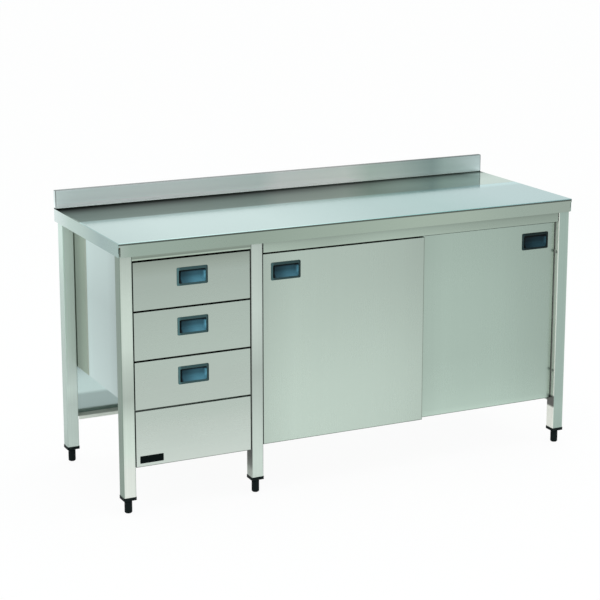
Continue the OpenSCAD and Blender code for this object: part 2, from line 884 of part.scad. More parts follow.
// Holes for the guide's screws
module guide_screw_holes() {
    for (s = [-1, 1])
        translate([guide_x + s * guide_length / 4, guide_screw_y, guide_top - guide_sheet - eps])
            cylinder(d = screw_diameter + 2 * screw_clearance, h = guide_sheet + shelf_sheet + 2 * eps);
}

// Rubber buffers on the legs, two for each door at each end of its run
module door_buffers() {
    thickness = door_side_gap - buffer_gap;
    color(dark_plastic)
    for (y = [left_door_y, right_door_y], z = [door_bottom + buffer_inset, door_top - buffer_inset]) {
        ym = y + front_thickness / 2;
        translate([cup_left, ym, z]) rotate([0, 90, 0]) cylinder(d = buffer_diameter, h = thickness);
        translate([cup_right - thickness, ym, z]) rotate([0, 90, 0])
            cylinder(d = buffer_diameter, h = thickness);
    }
}

// Tray with its edges folded down and returned, cut out round the rear middle leg
module tray(x, y, top, edge) {
    s = shelf_sheet;
    color(bright_steel)
    difference() {
        block(x, y, [top - edge, top]);
        block([x[0] + s, x[1] - s], [y[0] + s, y[1] - s], [top - edge + s, top - s]);
        block([x[0] + shelf_return, x[1] - shelf_return], [y[0] + shelf_return, y[1] - shelf_return],
              [top - edge - eps, top - edge + 2 * s]);
        block([x[0] - eps, cup_left + shelf_play], [leg_rear - shelf_play, y[1] + eps],
              [top - edge - eps, top + eps]);
    }
}

// Floor of the cupboard
module cupboard_floor() {
    difference() {
        tray([inside_left + shelf_play, inside_right - shelf_play], [floor_front, shelf_rear],
             floor_top, floor_edge);
        guide_screw_holes();
    }
}

// Shelf half way up the cupboard
module middle_shelf() {
    tray([inside_left + shelf_play, inside_right - shelf_play], [shelf_front, shelf_rear],
         shelf_top, shelf_edge);
}

// Angles on the partition and the side panel that carry the floor and the shelf
module shelf_brackets() {
    y = [shelf_front + bracket_inset, leg_rear - bracket_play];
    color(zinc)
    for (top = [bracket_top, guide_top]) {
        z = [max(top - bracket_size, panel_bottom), top];
        block([inside_left, inside_left + bracket_size], y, [top - bracket_sheet, top]);
        block([inside_left, inside_left + bracket_sheet], y, z);
        block([inside_right - bracket_size, inside_right], y, [top - bracket_sheet, top]);
        block([inside_right - bracket_sheet, inside_right], y, z);
    }
}

worktop();
core_board();
leg(0, 0);  // front_left_leg
leg(1, 0);  // front_middle_leg
leg(2, 0);  // front_right_leg
leg(0, 1);  // rear_left_leg
leg(1, 1);  // rear_middle_leg
leg(2, 1);  // rear_right_leg
foot_inserts();
frame_rails();
drawer_rail();
door_rail();
door_track();
left_side_panel();
middle_partition();
right_side_panel();
drawer_bay_back();
cupboard_back();
blind_panel();
nameplate();
cabinet_runners();
cupboard_floor();
middle_shelf();
shelf_brackets();
door_guide();
door_buffers();
fixing_screws();
foot(0, 0);  // front_left_foot
foot(1, 0);  // front_middle_foot
foot(2, 0);  // front_right_foot
foot(0, 1);  // rear_left_foot
foot(1, 1);  // rear_middle_foot
foot(2, 1);  // rear_right_foot
for (i = [0:drawer_count - 1]) {
    name = DRAWERS[i];
    drawer_front(i);
    drawer_box(i);
    cup_handle(front_middle - handle_width / 2, face_y, front_top(i));
    inner_runners(i);
    mid_runners(i);
}
door_shell(left_door_x, left_door_y, left_door_x + handle_edge);  // left_door_shell
door_back(left_door_x, left_door_y);  // left_door_back
cup_handle(left_door_x + handle_edge, left_door_y, door_top);  // left_door_handle
door_hangers(left_door_x, 0);  // left_door_hangers
rollers(left_door_x, 0, 0);  // left_door_roller_a
rollers(left_door_x, 0, 1);  // left_door_roller_b
door_shell(right_door_x, right_door_y, right_door_x + door_width - handle_edge - handle_width);  // right_door_shell
door_back(right_door_x, right_door_y);  // right_door_back
cup_handle(right_door_x + door_width - handle_edge - handle_width, right_door_y, door_top);  // right_door_handle
door_hangers(right_door_x, 1);  // right_door_hangers
rollers(right_door_x, 1, 0);  // right_door_roller_a
rollers(right_door_x, 1, 1);  // right_door_roller_b
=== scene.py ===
"""Looks of a stainless steel work table with a drawer column and a cupboard behind sliding doors."""

import logging
import math
from dataclasses import dataclass
from enum import Enum
from typing import Any, Iterable, Optional, Sequence, Tuple, Union

import bmesh
import bpy
from mathutils import Matrix, Vector


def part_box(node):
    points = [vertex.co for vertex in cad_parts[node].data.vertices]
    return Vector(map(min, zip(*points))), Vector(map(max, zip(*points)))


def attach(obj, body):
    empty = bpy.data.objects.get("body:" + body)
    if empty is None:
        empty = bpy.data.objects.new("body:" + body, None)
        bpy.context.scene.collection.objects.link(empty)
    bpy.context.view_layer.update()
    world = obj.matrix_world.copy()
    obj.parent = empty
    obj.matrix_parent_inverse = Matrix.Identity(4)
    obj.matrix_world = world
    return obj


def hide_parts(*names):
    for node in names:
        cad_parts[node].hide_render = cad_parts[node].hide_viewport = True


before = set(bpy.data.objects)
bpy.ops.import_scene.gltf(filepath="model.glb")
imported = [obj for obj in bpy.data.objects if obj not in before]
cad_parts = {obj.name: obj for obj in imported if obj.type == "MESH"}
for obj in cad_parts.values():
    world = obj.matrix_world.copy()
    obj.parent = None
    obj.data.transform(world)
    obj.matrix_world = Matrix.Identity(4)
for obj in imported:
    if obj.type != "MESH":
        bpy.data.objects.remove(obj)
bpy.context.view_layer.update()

LOG = logging.getLogger("work_table")
Colour = Tuple[float, float, float]
Stops = Tuple[Tuple[float, Colour], ...]
MM = 0.001
WHITE: Colour = (1.0, 1.0, 1.0)
BLACK: Colour = (0.0, 0.0, 0.0)
CLOUD_SCALE = 2.6
STEEL_RELIEF = 0.03 * MM
PLASTIC_GRAIN = 1400.0
PLASTIC_CLOUDS = 22.0
PLASTIC_RELIEF = 0.06 * MM
SHARP_ANGLE = math.radians(35)


class Grain(Enum):
    """Direction in which the steel was brushed, as waves per metre along each axis."""

    ALONG_X = (1.5, 700.0, 700.0)
    ALONG_Z = (700.0, 700.0, 1.5)

    def bands(self) -> Tuple[float, ...]:
        """Waves per metre of the wider bands across the grain."""
        return tuple(waves if waves < 10 else waves / 9 for waves in self.value)


class Axis(Enum):
    """Axis of the table, by its place in a vector."""

    X = 0
    Y = 1
    Z = 2


# ---- shader expressions


class Wire:
    """A number that comes out of a node, with arithmetic that adds Math nodes."""

    def __init__(self, graph: "Graph", socket: Any) -> None:
        """Keeps the graph and the output socket."""
        self.graph = graph
        self.socket = socket

    def _math(self, operation: str, *values: Any) -> "Wire":
        """Adds one Math node.

        Args:
            operation: the node's operation.
            values: numbers or wires, in the node's order.

        Returns:
            The node's result.
        """
        node = self.graph.node("ShaderNodeMath", {"operation": operation}, dict(enumerate(values)))
        return Wire(self.graph, node.outputs[0])

    def __add__(self, other: Any) -> "Wire":
        """Sum."""
        return self._math("ADD", self, other)

    __radd__ = __add__

    def __mul__(self, other: Any) -> "Wire":
        """Product."""
        return self._math("MULTIPLY", self, other)

    __rmul__ = __mul__

    def __sub__(self, other: Any) -> "Wire":
        """Difference."""
        return self._math("SUBTRACT", self, other)

    def __rsub__(self, other: Any) -> "Wire":
        """Difference with the wire on the right."""
        return self._math("SUBTRACT", other, self)

    def __truediv__(self, other: Any) -> "Wire":
        """Quotient."""
        return self._math("DIVIDE", self, other)

    def at_most(self, other: Any) -> "Wire":
        """Smaller of two numbers."""
        return self._math("MINIMUM", self, other)


class Graph:
    """Node tree of a material or a world."""

    def __init__(self, owner: Any) -> None:
        """Clears the owner's nodes.

        Args:
            owner: a material or a world.
        """
        owner.use_nodes = True
        self.tree = owner.node_tree
        self.tree.nodes.clear()

    def node(self, kind: str, settings: Optional[dict] = None, inputs: Optional[dict] = None) -> Any:
        """Adds one node.

        Args:
            kind: the node's type.
            settings: properties, set first; "stops" are a ramp's places and colours.
            inputs: values, wires or sockets by input name or number.

        Returns:
            The node.
        """
        node = self.tree.nodes.new(kind)
        for key, value in (settings or {}).items():
            if key == "stops":
                self._set_stops(node.color_ramp, value)
            else:
                setattr(node, key, value)
        for key, value in (inputs or {}).items():
            self.put(value, node.inputs[key])
        return node

    @staticmethod
    def _set_stops(ramp: Any, stops: Stops) -> None:
        """Gives a ramp its stops.

        Args:
            ramp: the node's colour ramp.
            stops: places from nought to one with their colours.
        """
        while len(ramp.elements) < len(stops):
            ramp.elements.new(0.5)
        for element, (place, colour) in zip(ramp.elements, stops):
            element.position = place
            element.color = (*colour, 1.0)

    def put(self, value: Any, socket: Any) -> None:
        """Links a wire or socket to an input, or sets a plain value on it.

        Args:
            value: a wire, a socket, a number, a vector or a colour.
            socket: the input.
        """
        if isinstance(value, Wire):
            value = value.socket
        if isinstance(value, bpy.types.NodeSocket):
            self.tree.links.new(value, socket)
        elif isinstance(value, (tuple, list)) and len(value) == 3 and len(socket.default_value) == 4:
            socket.default_value = (*value, 1.0)
        else:
            socket.default_value = value

    def place(self) -> Any:
        """Output with the place on the object, in metres."""
        return self.node("ShaderNodeTexCoord").outputs["Object"]

    def along(self, axis: Axis) -> Wire:
        """Coordinate of the place along one axis."""
        return Wire(self, self.node("ShaderNodeSeparateXYZ", inputs={0: self.place()}).outputs[axis.value])

    def noise(self, scale: Union[float, Sequence[float]], detail: float = 2.0, offset: float = 0.0) -> Wire:
        """Noise about nought, mostly within a fifth.

        Args:
            scale: waves per metre, one number or one for each axis.
            detail: number of finer layers.
            offset: shift of the pattern, to make it differ from others.

        Returns:
            The noise.
        """
        sizes = scale if isinstance(scale, (tuple, list)) else (scale, scale, scale)
        spread = self.node(
            "ShaderNodeMapping",
            inputs={"Vector": self.place(), "Scale": tuple(sizes), "Location": (offset, offset, offset)},
        )
        texture = self.node(
            "ShaderNodeTexNoise", inputs={"Vector": spread.outputs[0], "Scale": 1.0, "Detail": detail}
        )
        return Wire(self, texture.outputs[0]) - 0.5

    def ramp(self, value: Wire, low: float, high: float, at_low: float, at_high: float) -> Wire:
        """Smooth change of a number between two places, held beyond them.

        Args:
            value: the place.
            low: where the change starts.
            high: where it ends.
            at_low: the number up to there.
            at_high: the number from there on.

        Returns:
            The number.
        """
        node = self.node(
            "ShaderNodeMapRange",
            {"interpolation_type": "SMOOTHSTEP"},
            {0: value, 1: low, 2: high, 3: at_low, 4: at_high},
        )
        return Wire(self, node.outputs[0])

    def tinted(self, colour: Colour, level: Wire) -> Any:
        """Output with a colour times a number."""
        node = self.node("ShaderNodeVectorMath", {"operation": "SCALE"}, {0: colour, "Scale": level})
        return node.outputs[0]

    def blend(self, factor: Any, first: Any, second: Any) -> Any:
        """Output with a mix of two colours."""
        node = self.node("ShaderNodeMix", {"data_type": "RGBA"}, {0: factor, 6: first, 7: second})
        return node.outputs[2]

    def product(self, first: Any, second: Any) -> Any:
        """Output with one colour times another."""
        return self.node("ShaderNodeVectorMath", {"operation": "MULTIPLY"}, {0: first, 1: second}).outputs[0]

    def run(self, axis: Axis, stops: Stops) -> Any:
        """Output with a colour that changes from stop to stop along one axis.

        Args:
            axis: the axis.
            stops: places in metres, lowest first, with their colours.

        Returns:
            The colour.
        """
        low, high = stops[0][0], stops[-1][0]
        share = (self.along(axis) - low) / (high - low)
        places = [((place - low) / (high - low), colour) for place, colour in stops]
        return self.node("ShaderNodeValToRGB", {"stops": places}, {0: share}).outputs[0]

    def bump(self, height: Wire, distance: float, strength: float) -> Any:
        """Normal that a height gives."""
        inputs = {"Height": height, "Distance": distance, "Strength": strength}
        return self.node("ShaderNodeBump", inputs=inputs).outputs[0]

    def surface(self, inputs: dict, dim: Optional[Wire] = None) -> None:
        """Ends a material with one Principled shader.

        Args:
            inputs: the shader's values by input name.
            dim: share of the light that the surface swallows, where there is one; the worktop uses it for
                painted reflection and painted shade.
        """
        end = self.node("ShaderNodeBsdfPrincipled", inputs=inputs).outputs[0]
        if dim is not None:
            black = self.node("ShaderNodeBsdfDiffuse", inputs={"Color": BLACK}).outputs[0]
            end = self.node("ShaderNodeMixShader", inputs={0: dim, 1: end, 2: black}).outputs[0]
        self.node("ShaderNodeOutputMaterial", inputs={"Surface": end})


# ---- finishes


@dataclass(frozen=True)
class Fade:
    """Slow change of brightness along one axis, used here as painted light and painted shade."""

    axis: Axis
    low: float
    high: float
    at_low: float
    at_high: float

    def apply(self, g: Graph, colour: Any) -> Any:
        """Colour with the change laid over it."""
        return g.tinted(colour, g.ramp(g.along(self.axis), self.low, self.high, self.at_low, self.at_high))


@dataclass(frozen=True)
class Strip:
    """Strip between two places along one axis where the sheet takes another tint, used here for painted shade
    lines and painted light.
    """

    axis: Axis
    low: float
    high: float
    tint: Colour = WHITE
    soft: float = 0.4 * MM

    def inside(self, g: Graph) -> Wire:
        """Finds where the strip is.

        Args:
            g: the node tree.

        Returns:
            One within the strip, nought beyond it.
        """
        along = g.along(self.axis)
        begun = g.ramp(along, self.low - self.soft, self.low + self.soft, 0.0, 1.0)
        return begun * g.ramp(along, self.high - self.soft, self.high + self.soft, 1.0, 0.0)

    def apply(self, g: Graph, colour: Any) -> Any:
        """Colour with the strip laid over it."""
        return g.product(colour, g.blend(self.inside(g), WHITE, self.tint))


@dataclass(frozen=True)
class Run:
    """Tint that changes from stop to stop along one axis, used here as painted light, painted shade and
    painted reflection.
    """

    axis: Axis
    stops: Stops

    def apply(self, g: Graph, colour: Any) -> Any:
        """Colour with the tints laid over it."""
        return g.product(colour, g.run(self.axis, self.stops))


# a shade is painted light, painted shade or a painted reflection laid over a finish's colour
Shade = Union[Fade, Strip, Run]


@dataclass(frozen=True)
class Finish:
    """A finish: its name and the shader that belongs to it."""

    name: str

    def paint(self, g: Graph) -> None:
        """Builds the shader in a node tree."""
        raise NotImplementedError

    def material(self) -> bpy.types.Material:
        """Makes the material of this finish, once.

        Returns:
            The material.
        """
        made = bpy.data.materials.get(self.name)
        if made is None:
            made = bpy.data.materials.new(self.name)
            self.paint(Graph(made))
        return made


@dataclass(frozen=True)
class BrushedSteel(Finish):
    """Stainless steel sheet with a fine grain, slow clouds and light wipe marks."""

    grain: Grain
    tint: Colour
    roughness: float = 0.28
    streak: float = 0.02
    cloud: float = 0.05
    shades: Tuple[Shade, ...] = ()
    dull: Optional[Strip] = None

    def paint(self, g: Graph) -> None:
        """Builds the shader in a node tree.

        Args:
            g: the node tree.
        """
        fine = g.noise(self.grain.value)
        bands = g.noise(self.grain.bands(), 1.0, 3.7)
        clouds = g.noise(CLOUD_SCALE, 2.0, 11.3)
        wiped = g.noise(9.0, 3.0, 5.1)
        colour = g.tinted(self.tint, 1.0 + (fine + bands) * self.streak + clouds * self.cloud)
        # the shades lay painted light, painted shade and painted reflections over the steel's own colour
        for shade in self.shades:
            colour = shade.apply(g, colour)
        g.surface(
            {
                "Base Color": colour,
                "Metallic": 1.0 if self.dull is None else 1.0 - self.dull.inside(g) * 0.97,
                "Roughness": fine * 0.04 + wiped * 0.06 + self.roughness,
                "Normal": g.bump(fine, STEEL_RELIEF, 0.03),
            }
        )


@dataclass(frozen=True)
class TubeSteel(Finish):
    """Square tube of ground stainless steel, whose front and sides differ by painted light and painted shade
    that change with height.
    """

    left: float
    right: float
    front: Stops
    left_side: Stops
    right_side: Stops
    roughness: float = 0.40
    corner: float = 2.0 * MM

    def paint(self, g: Graph) -> None:
        """Builds the shader in a node tree.

        Args:
            g: the node tree.
        """
        fine = g.noise(Grain.ALONG_Z.value)
        drawn = g.noise((260.0, 260.0, 0.8), 2.0, 3.7)
        clouds = g.noise(CLOUD_SCALE, 2.0, 11.3)
        # painted light and shade: the front and each side take their own colours by height
        at_right = g.ramp(g.along(Axis.X), self.right - 2 * self.corner, self.right - self.corner, 0.0, 1.0)
        sides = g.blend(at_right, g.run(Axis.Z, self.left_side), g.run(Axis.Z, self.right_side))
        face = Strip(Axis.X, self.left + self.corner, self.right - self.corner, soft=1.5 * MM)
        colour = g.blend(face.inside(g), sides, g.run(Axis.Z, self.front))
        g.surface(
            {
                "Base Color": g.tinted(colour, 1.0 + fine * 0.04 + drawn * 0.16 + clouds * 0.05),
                "Metallic": 0.85,
                "Roughness": fine * 0.04 + self.roughness,
                "Normal": g.bump(fine, STEEL_RELIEF, 0.06),
            }
        )


@dataclass(frozen=True)
class CupPlastic(Finish):
    """Blue-grey plastic of one cup handle, with a painted shadow under its lip and on its near wall, and a
    painted highlight on the far slope.
    """

    low: Sequence[float]
    high: Sequence[float]
    # level is painted shade: how bright the whole handle is drawn
    level: float
    colour: Colour = (0.044, 0.128, 0.172)
    edge: Colour = (0.044, 0.088, 0.092)

    def paint(self, g: Graph) -> None:
        """Builds the shader in a node tree, with places as shares of the handle's box.

        Args:
            g: the node tree.
        """
        sizes = (high - low for low, high in zip(self.low, self.high))
        across, depth, height = (
            (g.along(axis) - low) / size for axis, low, size in zip(Axis, self.low, sizes)
        )
        fine = g.noise(PLASTIC_GRAIN)
        clouds = g.noise(PLASTIC_CLOUDS, 2.0, 2.3)
        # painted shade and painted highlights by place in the handle's box: shadow under the lip and on the
        # near wall, a glint on the far slope
        cup = g.ramp(depth, 0.12, 0.22, 0.0, 1.0)
        painted_lip_shadow = g.ramp(height, 0.26, 0.54, 1.0, 0.52) * g.ramp(height, 0.64, 0.76, 1.0, 0.04)
        painted_side_shade = g.ramp(across, 0.13, 0.21, 0.02, 1.0) * g.ramp(across, 0.20, 0.70, 0.90, 2.00)
        painted_slope_glint = g.ramp(across, 0.86, 0.93, 0.0, 1.0) * g.ramp(height, 0.25, 0.50, 0.0, 1.0) * 1.6 + 1.0
        # painted light on the rim: lighter at the left, darker at the right
        rim = g.ramp(across, 0.03, 0.12, 2.0, 1.0) * g.ramp(across, 0.93, 0.97, 1.0, 0.55)
        level = cup * painted_lip_shadow * painted_side_shade * painted_slope_glint + (1.0 - cup) * rim
        level = level * (1.0 + clouds * 0.2 + fine * 0.08) * self.level
        g.surface(
            {
                "Base Color": g.tinted(g.blend(cup, self.edge, self.colour), level),
                "Roughness": clouds * 0.12 + 0.40,
                "Specular IOR Level": 0.08,
                "Normal": g.bump(fine, PLASTIC_RELIEF, 0.35),
            }
        )


@dataclass(frozen=True)
class Moulded(Finish):
    """Injection-moulded plastic or rubber with a fine spark-eroded grain."""

    colour: Colour
    roughness: float
    shine: float = 0.5

    def paint(self, g: Graph) -> None:
        """Builds the shader in a node tree.

        Args:
            g: the node tree.
        """
        fine = g.noise(PLASTIC_GRAIN)
        clouds = g.noise(PLASTIC_CLOUDS, 2.0, 2.3)
        g.surface(
            {
                "Base Color": g.tinted(self.colour, 1.0 + clouds * 0.25 + fine * 0.12),
                "Roughness": clouds * 0.12 + self.roughness,
                "Specular IOR Level": self.shine,
                "Normal": g.bump(fine, PLASTIC_RELIEF, 0.35),
            }
        )


@dataclass(frozen=True)
class PlainMetal(Finish):
    """Zinc-plated steel or aluminium with a spangled or drawn surface."""

    colour: Colour
    roughness: float
    cells: float = 160.0

    def paint(self, g: Graph) -> None:
        """Builds the shader in a node tree.

        Args:
            g: the node tree.
        """
        spangle = g.noise(self.cells, 1.0)
        clouds = g.noise(14.0, 2.0, 6.1)
        g.surface(
            {
                "Base Color": g.tinted(self.colour, 1.0 + spangle * 0.22 + clouds * 0.12),
                "Metallic": 1.0,
                "Roughness": spangle * 0.16 + self.roughness,
                "Normal": g.bump(spangle, 0.05 * MM, 0.2),
            }
        )


@dataclass(frozen=True)
class ChipBoard(Finish):
    """Pressed wood chips."""

    stops: Stops = ((0.32, (0.20, 0.12, 0.06)), (0.5, (0.46, 0.32, 0.19)), (0.68, (0.68, 0.53, 0.35)))

    def paint(self, g: Graph) -> None:
        """Builds the shader in a node tree.

        Args:
            g: the node tree.
        """
        chips = g.noise((260.0, 420.0, 520.0), 3.0)
        wood = g.node("ShaderNodeValToRGB", {"stops": self.stops}, {0: chips + 0.5}).outputs[0]
        g.surface({"Base Color": wood, "Roughness": 0.85, "Normal": g.bump(chips, 0.3 * MM, 0.4)})


@dataclass(frozen=True)
class WorktopSteel(Finish):
    """The worktop's sheet: a smooth top, a brushed edge and upstand, with painted shade on its bends, painted
    light along each face and a painted reflection of the upstand on the top.
    """

    edge: Colour
    # the upstand's light colour is painted light, and the rear colour is a painted reflection of the upstand
    # on the top's rear half
    upstand: Colour
    rear: Colour
    surface: float = 850.0 * MM
    half_length: float = 800.0 * MM
    front: float = -300.0 * MM
    upstand_front: float = 282.0 * MM
    upstand_top: float = 910.0 * MM
    # where the painted reflection of the upstand starts on the top, and where it is full
    painted_mirror_from: float = 45.0 * MM
    painted_mirror_fully: float = 58.0 * MM

    def on_side(self, g: Graph) -> Wire:
        """Finds the sheet's left and right edges.

        Args:
            g: the node tree.

        Returns:
            One on the edges, nought between them.
        """
        x = g.along(Axis.X)
        inner, outer = ((self.half_length - inset) ** 2 for inset in (3.0 * MM, 1.2 * MM))
        return g.ramp(x * x, inner, outer, 0.0, 1.0)

    def on_rim(self, g: Graph) -> Wire:
        """One on the upstand's top bend, nought below it."""
        return g.ramp(g.along(Axis.Z), self.upstand_top - 2.2 * MM, self.upstand_top - 0.8 * MM, 0.0, 1.0)

    def level(self, g: Graph, on_top: Wire, on_upstand: Wire) -> Wire:
        """Painted light and painted shade of the sheet from place to place.

        Args:
            g: the node tree.
            on_top: one on the flat top.
            on_upstand: one on the upstand.

        Returns:
            The brightness.
        """
        y, z = g.along(Axis.Y), g.along(Axis.Z)
        level = 1.0 + g.noise(Grain.ALONG_X.value) * 0.03 + g.noise(2.2, 2.0, 4.4) * 0.05
        # painted shade: a dark line just below the front bend
        painted_bend_line = g.ramp(z, self.surface - 7.5 * MM, self.surface - 6.0 * MM, 0.0, 1.0)
        painted_bend_line = painted_bend_line * g.ramp(z, self.surface - 2.8 * MM, self.surface - 1.6 * MM, 1.0, 0.0)
        painted_bend_line = painted_bend_line * g.ramp(y, self.front + 0.8 * MM, self.front + 1.6 * MM, 1.0, 0.0)
        # painted highlight along the front of the top
        painted_nosing_highlight = g.ramp(y, self.front + 4.0 * MM, self.front + 5.5 * MM, 1.0, 0.0) * on_top
        level = level * (1.0 - painted_bend_line * 0.72) * (1.0 + painted_nosing_highlight * 0.06)
        # painted shade on the upstand's top bend and on its end faces
        face = g.ramp(y, self.upstand_front + 2.5 * MM, self.upstand_front + 3.5 * MM, 1.0, 0.0)
        level = level * (1.0 - self.on_rim(g) * 0.5) * (1.0 - self.on_side(g) * on_upstand * face * 0.75)
        # painted light: the upstand lighter low down and darker towards its top
        painted_upstand_light = g.ramp(z, self.surface + 4.0 * MM, self.surface + 30.0 * MM, 0.22, -0.05)
        painted_upstand_light = painted_upstand_light + g.ramp(z, self.surface + 30.0 * MM, self.upstand_top, 0.0, -0.11)
        # painted light: a lighter band across the top in front of the painted reflection
        painted_brim_light = g.ramp(y, -10.0 * MM, 30.0 * MM, 0.0, 1.0) * g.ramp(y, 42.0 * MM, 52.0 * MM, 1.0, 0.0)
        return level * (1.0 + painted_upstand_light * on_upstand) * (1.0 + painted_brim_light * on_top * 0.3)

    def painted_reflection_dim(self, g: Graph) -> Wire:
        """Share of the light that the top swallows as a painted reflection of the dark upstand, with painted
        shade deepening towards the upstand's foot.

        Args:
            g: the node tree.

        Returns:
            The share.
        """
        y = g.along(Axis.Y)
        # painted reflection of the upstand, fixed on the top: lighter over the front of the zone, darker near
        # the upstand
        behind = g.ramp(y, self.painted_mirror_from, self.painted_mirror_fully, 0.0, 1.0)
        shallow = behind * Wire(g, g.run(Axis.X, SHALLOW_PAINTED_REFLECTION)) * g.ramp(y, 0.05, 0.14, 0.33, 0.43)
        deep = g.ramp(y, 0.135, 0.272, 0.0, 0.47) * Wire(g, g.run(Axis.X, DEEP_PAINTED_REFLECTION))
        painted_crease_shade = g.ramp(y, 0.234, 0.272, 1.0, 0.25)
        return 1.0 - (1.0 - (shallow + deep).at_most(0.985)) * painted_crease_shade

    def paint(self, g: Graph) -> None:
        """Builds the shader in a node tree.

        Args:
            g: the node tree.
        """
        y, z = g.along(Axis.Y), g.along(Axis.Z)
        on_edge = g.ramp(z, self.surface - 3.0 * MM, self.surface - 1.5 * MM, 1.0, 0.0)
        on_upstand = g.ramp(z, self.surface + 0.5 * MM, self.surface + 3.0 * MM, 0.0, 1.0)
        on_top = (1.0 - on_edge) * (1.0 - on_upstand)
        # painted reflection: the top's rear half takes the darker rear colour; the stops along X are painted
        # light
        behind = g.ramp(y, self.painted_mirror_from, self.painted_mirror_fully, 0.0, 1.0)
        top = g.blend(behind, g.run(Axis.X, TOP_PAINTED_LIGHT), self.rear)
        # painted light along the front edge, the side edges and the upstand
        front_edge = g.product(self.edge, g.run(Axis.X, EDGE_PAINTED_LIGHT))
        edge = g.blend(self.on_side(g), front_edge, g.run(Axis.Y, SIDE_EDGE_PAINTED_LIGHT))
        wall = g.product(self.upstand, g.run(Axis.X, UPSTAND_PAINTED_LIGHT))
        colour = g.blend(on_upstand, g.blend(on_edge, top, edge), wall)
        wiped = g.noise(7.0, 3.0, 5.1)
        g.surface(
            {
                "Base Color": g.tinted(colour, self.level(g, on_top, on_upstand)),
                "Metallic": 1.0 - on_upstand * g.ramp(z, self.surface, self.upstand_top, 0.64, 0.48),
                "Roughness": on_edge * 0.18 + on_upstand * 0.20 + wiped * 0.04 + 0.09,
                "Normal": g.bump(g.noise(Grain.ALONG_X.value), STEEL_RELIEF, 0.06),
            },
            # painted reflection and painted shade, taken away by the black mix
            self.painted_reflection_dim(g) * on_top + self.on_rim(g) * 0.45,
        )


# ---- the table's finishes: places in metres, and the tints, painted light and painted shade on them


def scaled(colour: Colour, *stops: Tuple[float, float]) -> Stops:
    """Stops with one colour times a number at each place."""
    return tuple((place, tuple(part * level for part in colour)) for place, level in stops)


def shares(*stops: Tuple[float, float]) -> Stops:
    """Grey stops from places and numbers."""
    return scaled(WHITE, *stops)


def painted_gap_shade(face_y: float) -> Run:
    """Painted shade on the bent-back edges behind a front, drawn nearly black so that the gaps between fronts
    look dark.

    Args:
        face_y: place of the front's face.

    Returns:
        The change of colour.
    """
    depths = ((0.1, 1.0), (0.8, 0.04), (9.0, 0.05), (18.0, 0.20), (19.5, 0.70))
    return Run(Axis.Y, shares(*((face_y + depth * MM, level) for depth, level in depths)))


EDGE_GREY: Colour = (0.355, 0.445, 0.385)
PALE: Colour = (0.56, 0.63, 0.58)
BLUISH: Colour = (0.47, 0.59, 0.575)
# painted light: the pale warm colour given to the front right leg's sides
CREAM_PAINTED_LIGHT: Colour = (0.96, 0.97, 0.90)
# painted shade for dark lines along the bottom edges of fronts and doors and beside the doors' edges
PAINTED_SHADE_GREY: Colour = (0.45, 0.45, 0.45)
FRONT_FACE = -291.0 * MM
RIGHT_DOOR_FACE = -271.0 * MM

# painted light: the worktop's colours along its top, edges and upstand change with how light falls on the one
# sheet
TOP_PAINTED_LIGHT: Stops = (
    (-0.80, (0.29, 0.40, 0.39)),
    (-0.60, (0.36, 0.48, 0.47)),
    (-0.25, (0.38, 0.51, 0.50)),
    (0.15, (0.23, 0.38, 0.37)),
    (0.35, (0.20, 0.37, 0.36)),
    (0.60, (0.27, 0.42, 0.43)),
)
EDGE_PAINTED_LIGHT: Stops = (
    (-0.80, (1.22, 1.15, 1.20)),
    (-0.76, (1.00, 1.00, 1.00)),
    (-0.40, (0.93, 0.92, 0.90)),
    (0.20, (1.15, 1.11, 1.08)),
    (0.40, (1.15, 1.10, 1.08)),
    (0.60, (1.03, 1.00, 1.00)),
    (0.80, (1.00, 0.94, 0.95)),
)
SIDE_EDGE_PAINTED_LIGHT: Stops = (
    (-0.30, (0.34, 0.47, 0.44)),
    (-0.15, (0.32, 0.44, 0.43)),
    (0.00, (0.44, 0.57, 0.53)),
    (0.15, (0.52, 0.66, 0.61)),
    (0.30, (0.77, 0.87, 0.86)),
)
UPSTAND_PAINTED_LIGHT: Stops = (
    (-0.80, (1.10, 1.08, 1.10)),
    (-0.40, (1.16, 1.08, 1.10)),
    (-0.08, (1.03, 1.00, 1.00)),
    (0.00, (1.28, 1.14, 1.15)),
    (0.25, (1.26, 1.14, 1.12)),
    (0.35, (0.86, 0.87, 0.82)),
    (0.45, (0.80, 0.80, 0.78)),
    (0.60, (0.49, 0.55, 0.55)),
    (0.65, (0.65, 0.71, 0.70)),
    (0.80, (0.74, 0.78, 0.80)),
)
# painted reflection: how dark the upstand's mirror image is drawn along the top
SHALLOW_PAINTED_REFLECTION = shares(
    (-0.80, 1.15), (-0.55, 1.0), (0.10, 0.95), (0.27, 0.8), (0.35, 0.5), (0.45, 0.1), (0.55, 0.0), (0.80, 0.0)
)
DEEP_PAINTED_REFLECTION = shares(
    (-0.80, 1.0), (-0.20, 1.0), (0.05, 0.85), (0.20, 0.8), (0.45, 1.15), (0.70, 1.15), (0.76, 0.3)
)
# painted light and shade on the fronts by height: lighter and warmer low down, darker under the worktop
FRONT_PAINTED_LIGHT: Stops = (
    (0.14, (1.24, 1.17, 1.21)),
    (0.20, (1.13, 1.08, 1.11)),
    (0.26, (1.05, 1.01, 1.03)),
    (0.30, (0.98, 0.96, 0.97)),
    (0.40, (0.98, 0.96, 0.97)),
    (0.50, (1.0, 1.0, 1.0)),
    (0.65, (1.0, 1.0, 1.0)),
    (0.735, (0.96, 0.96, 0.96)),
    (0.765, (0.84, 0.84, 0.82)),
    (0.79, (0.70, 0.70, 0.68)),
)
# painted light across the left door
LEFT_DOOR_PAINTED_LIGHT = shares(
    (-0.3275, 0.93), (-0.30, 0.98), (-0.22, 1.05), (-0.10, 1.03), (0.05, 1.0), (0.16, 0.955), (0.2435, 0.90)
)
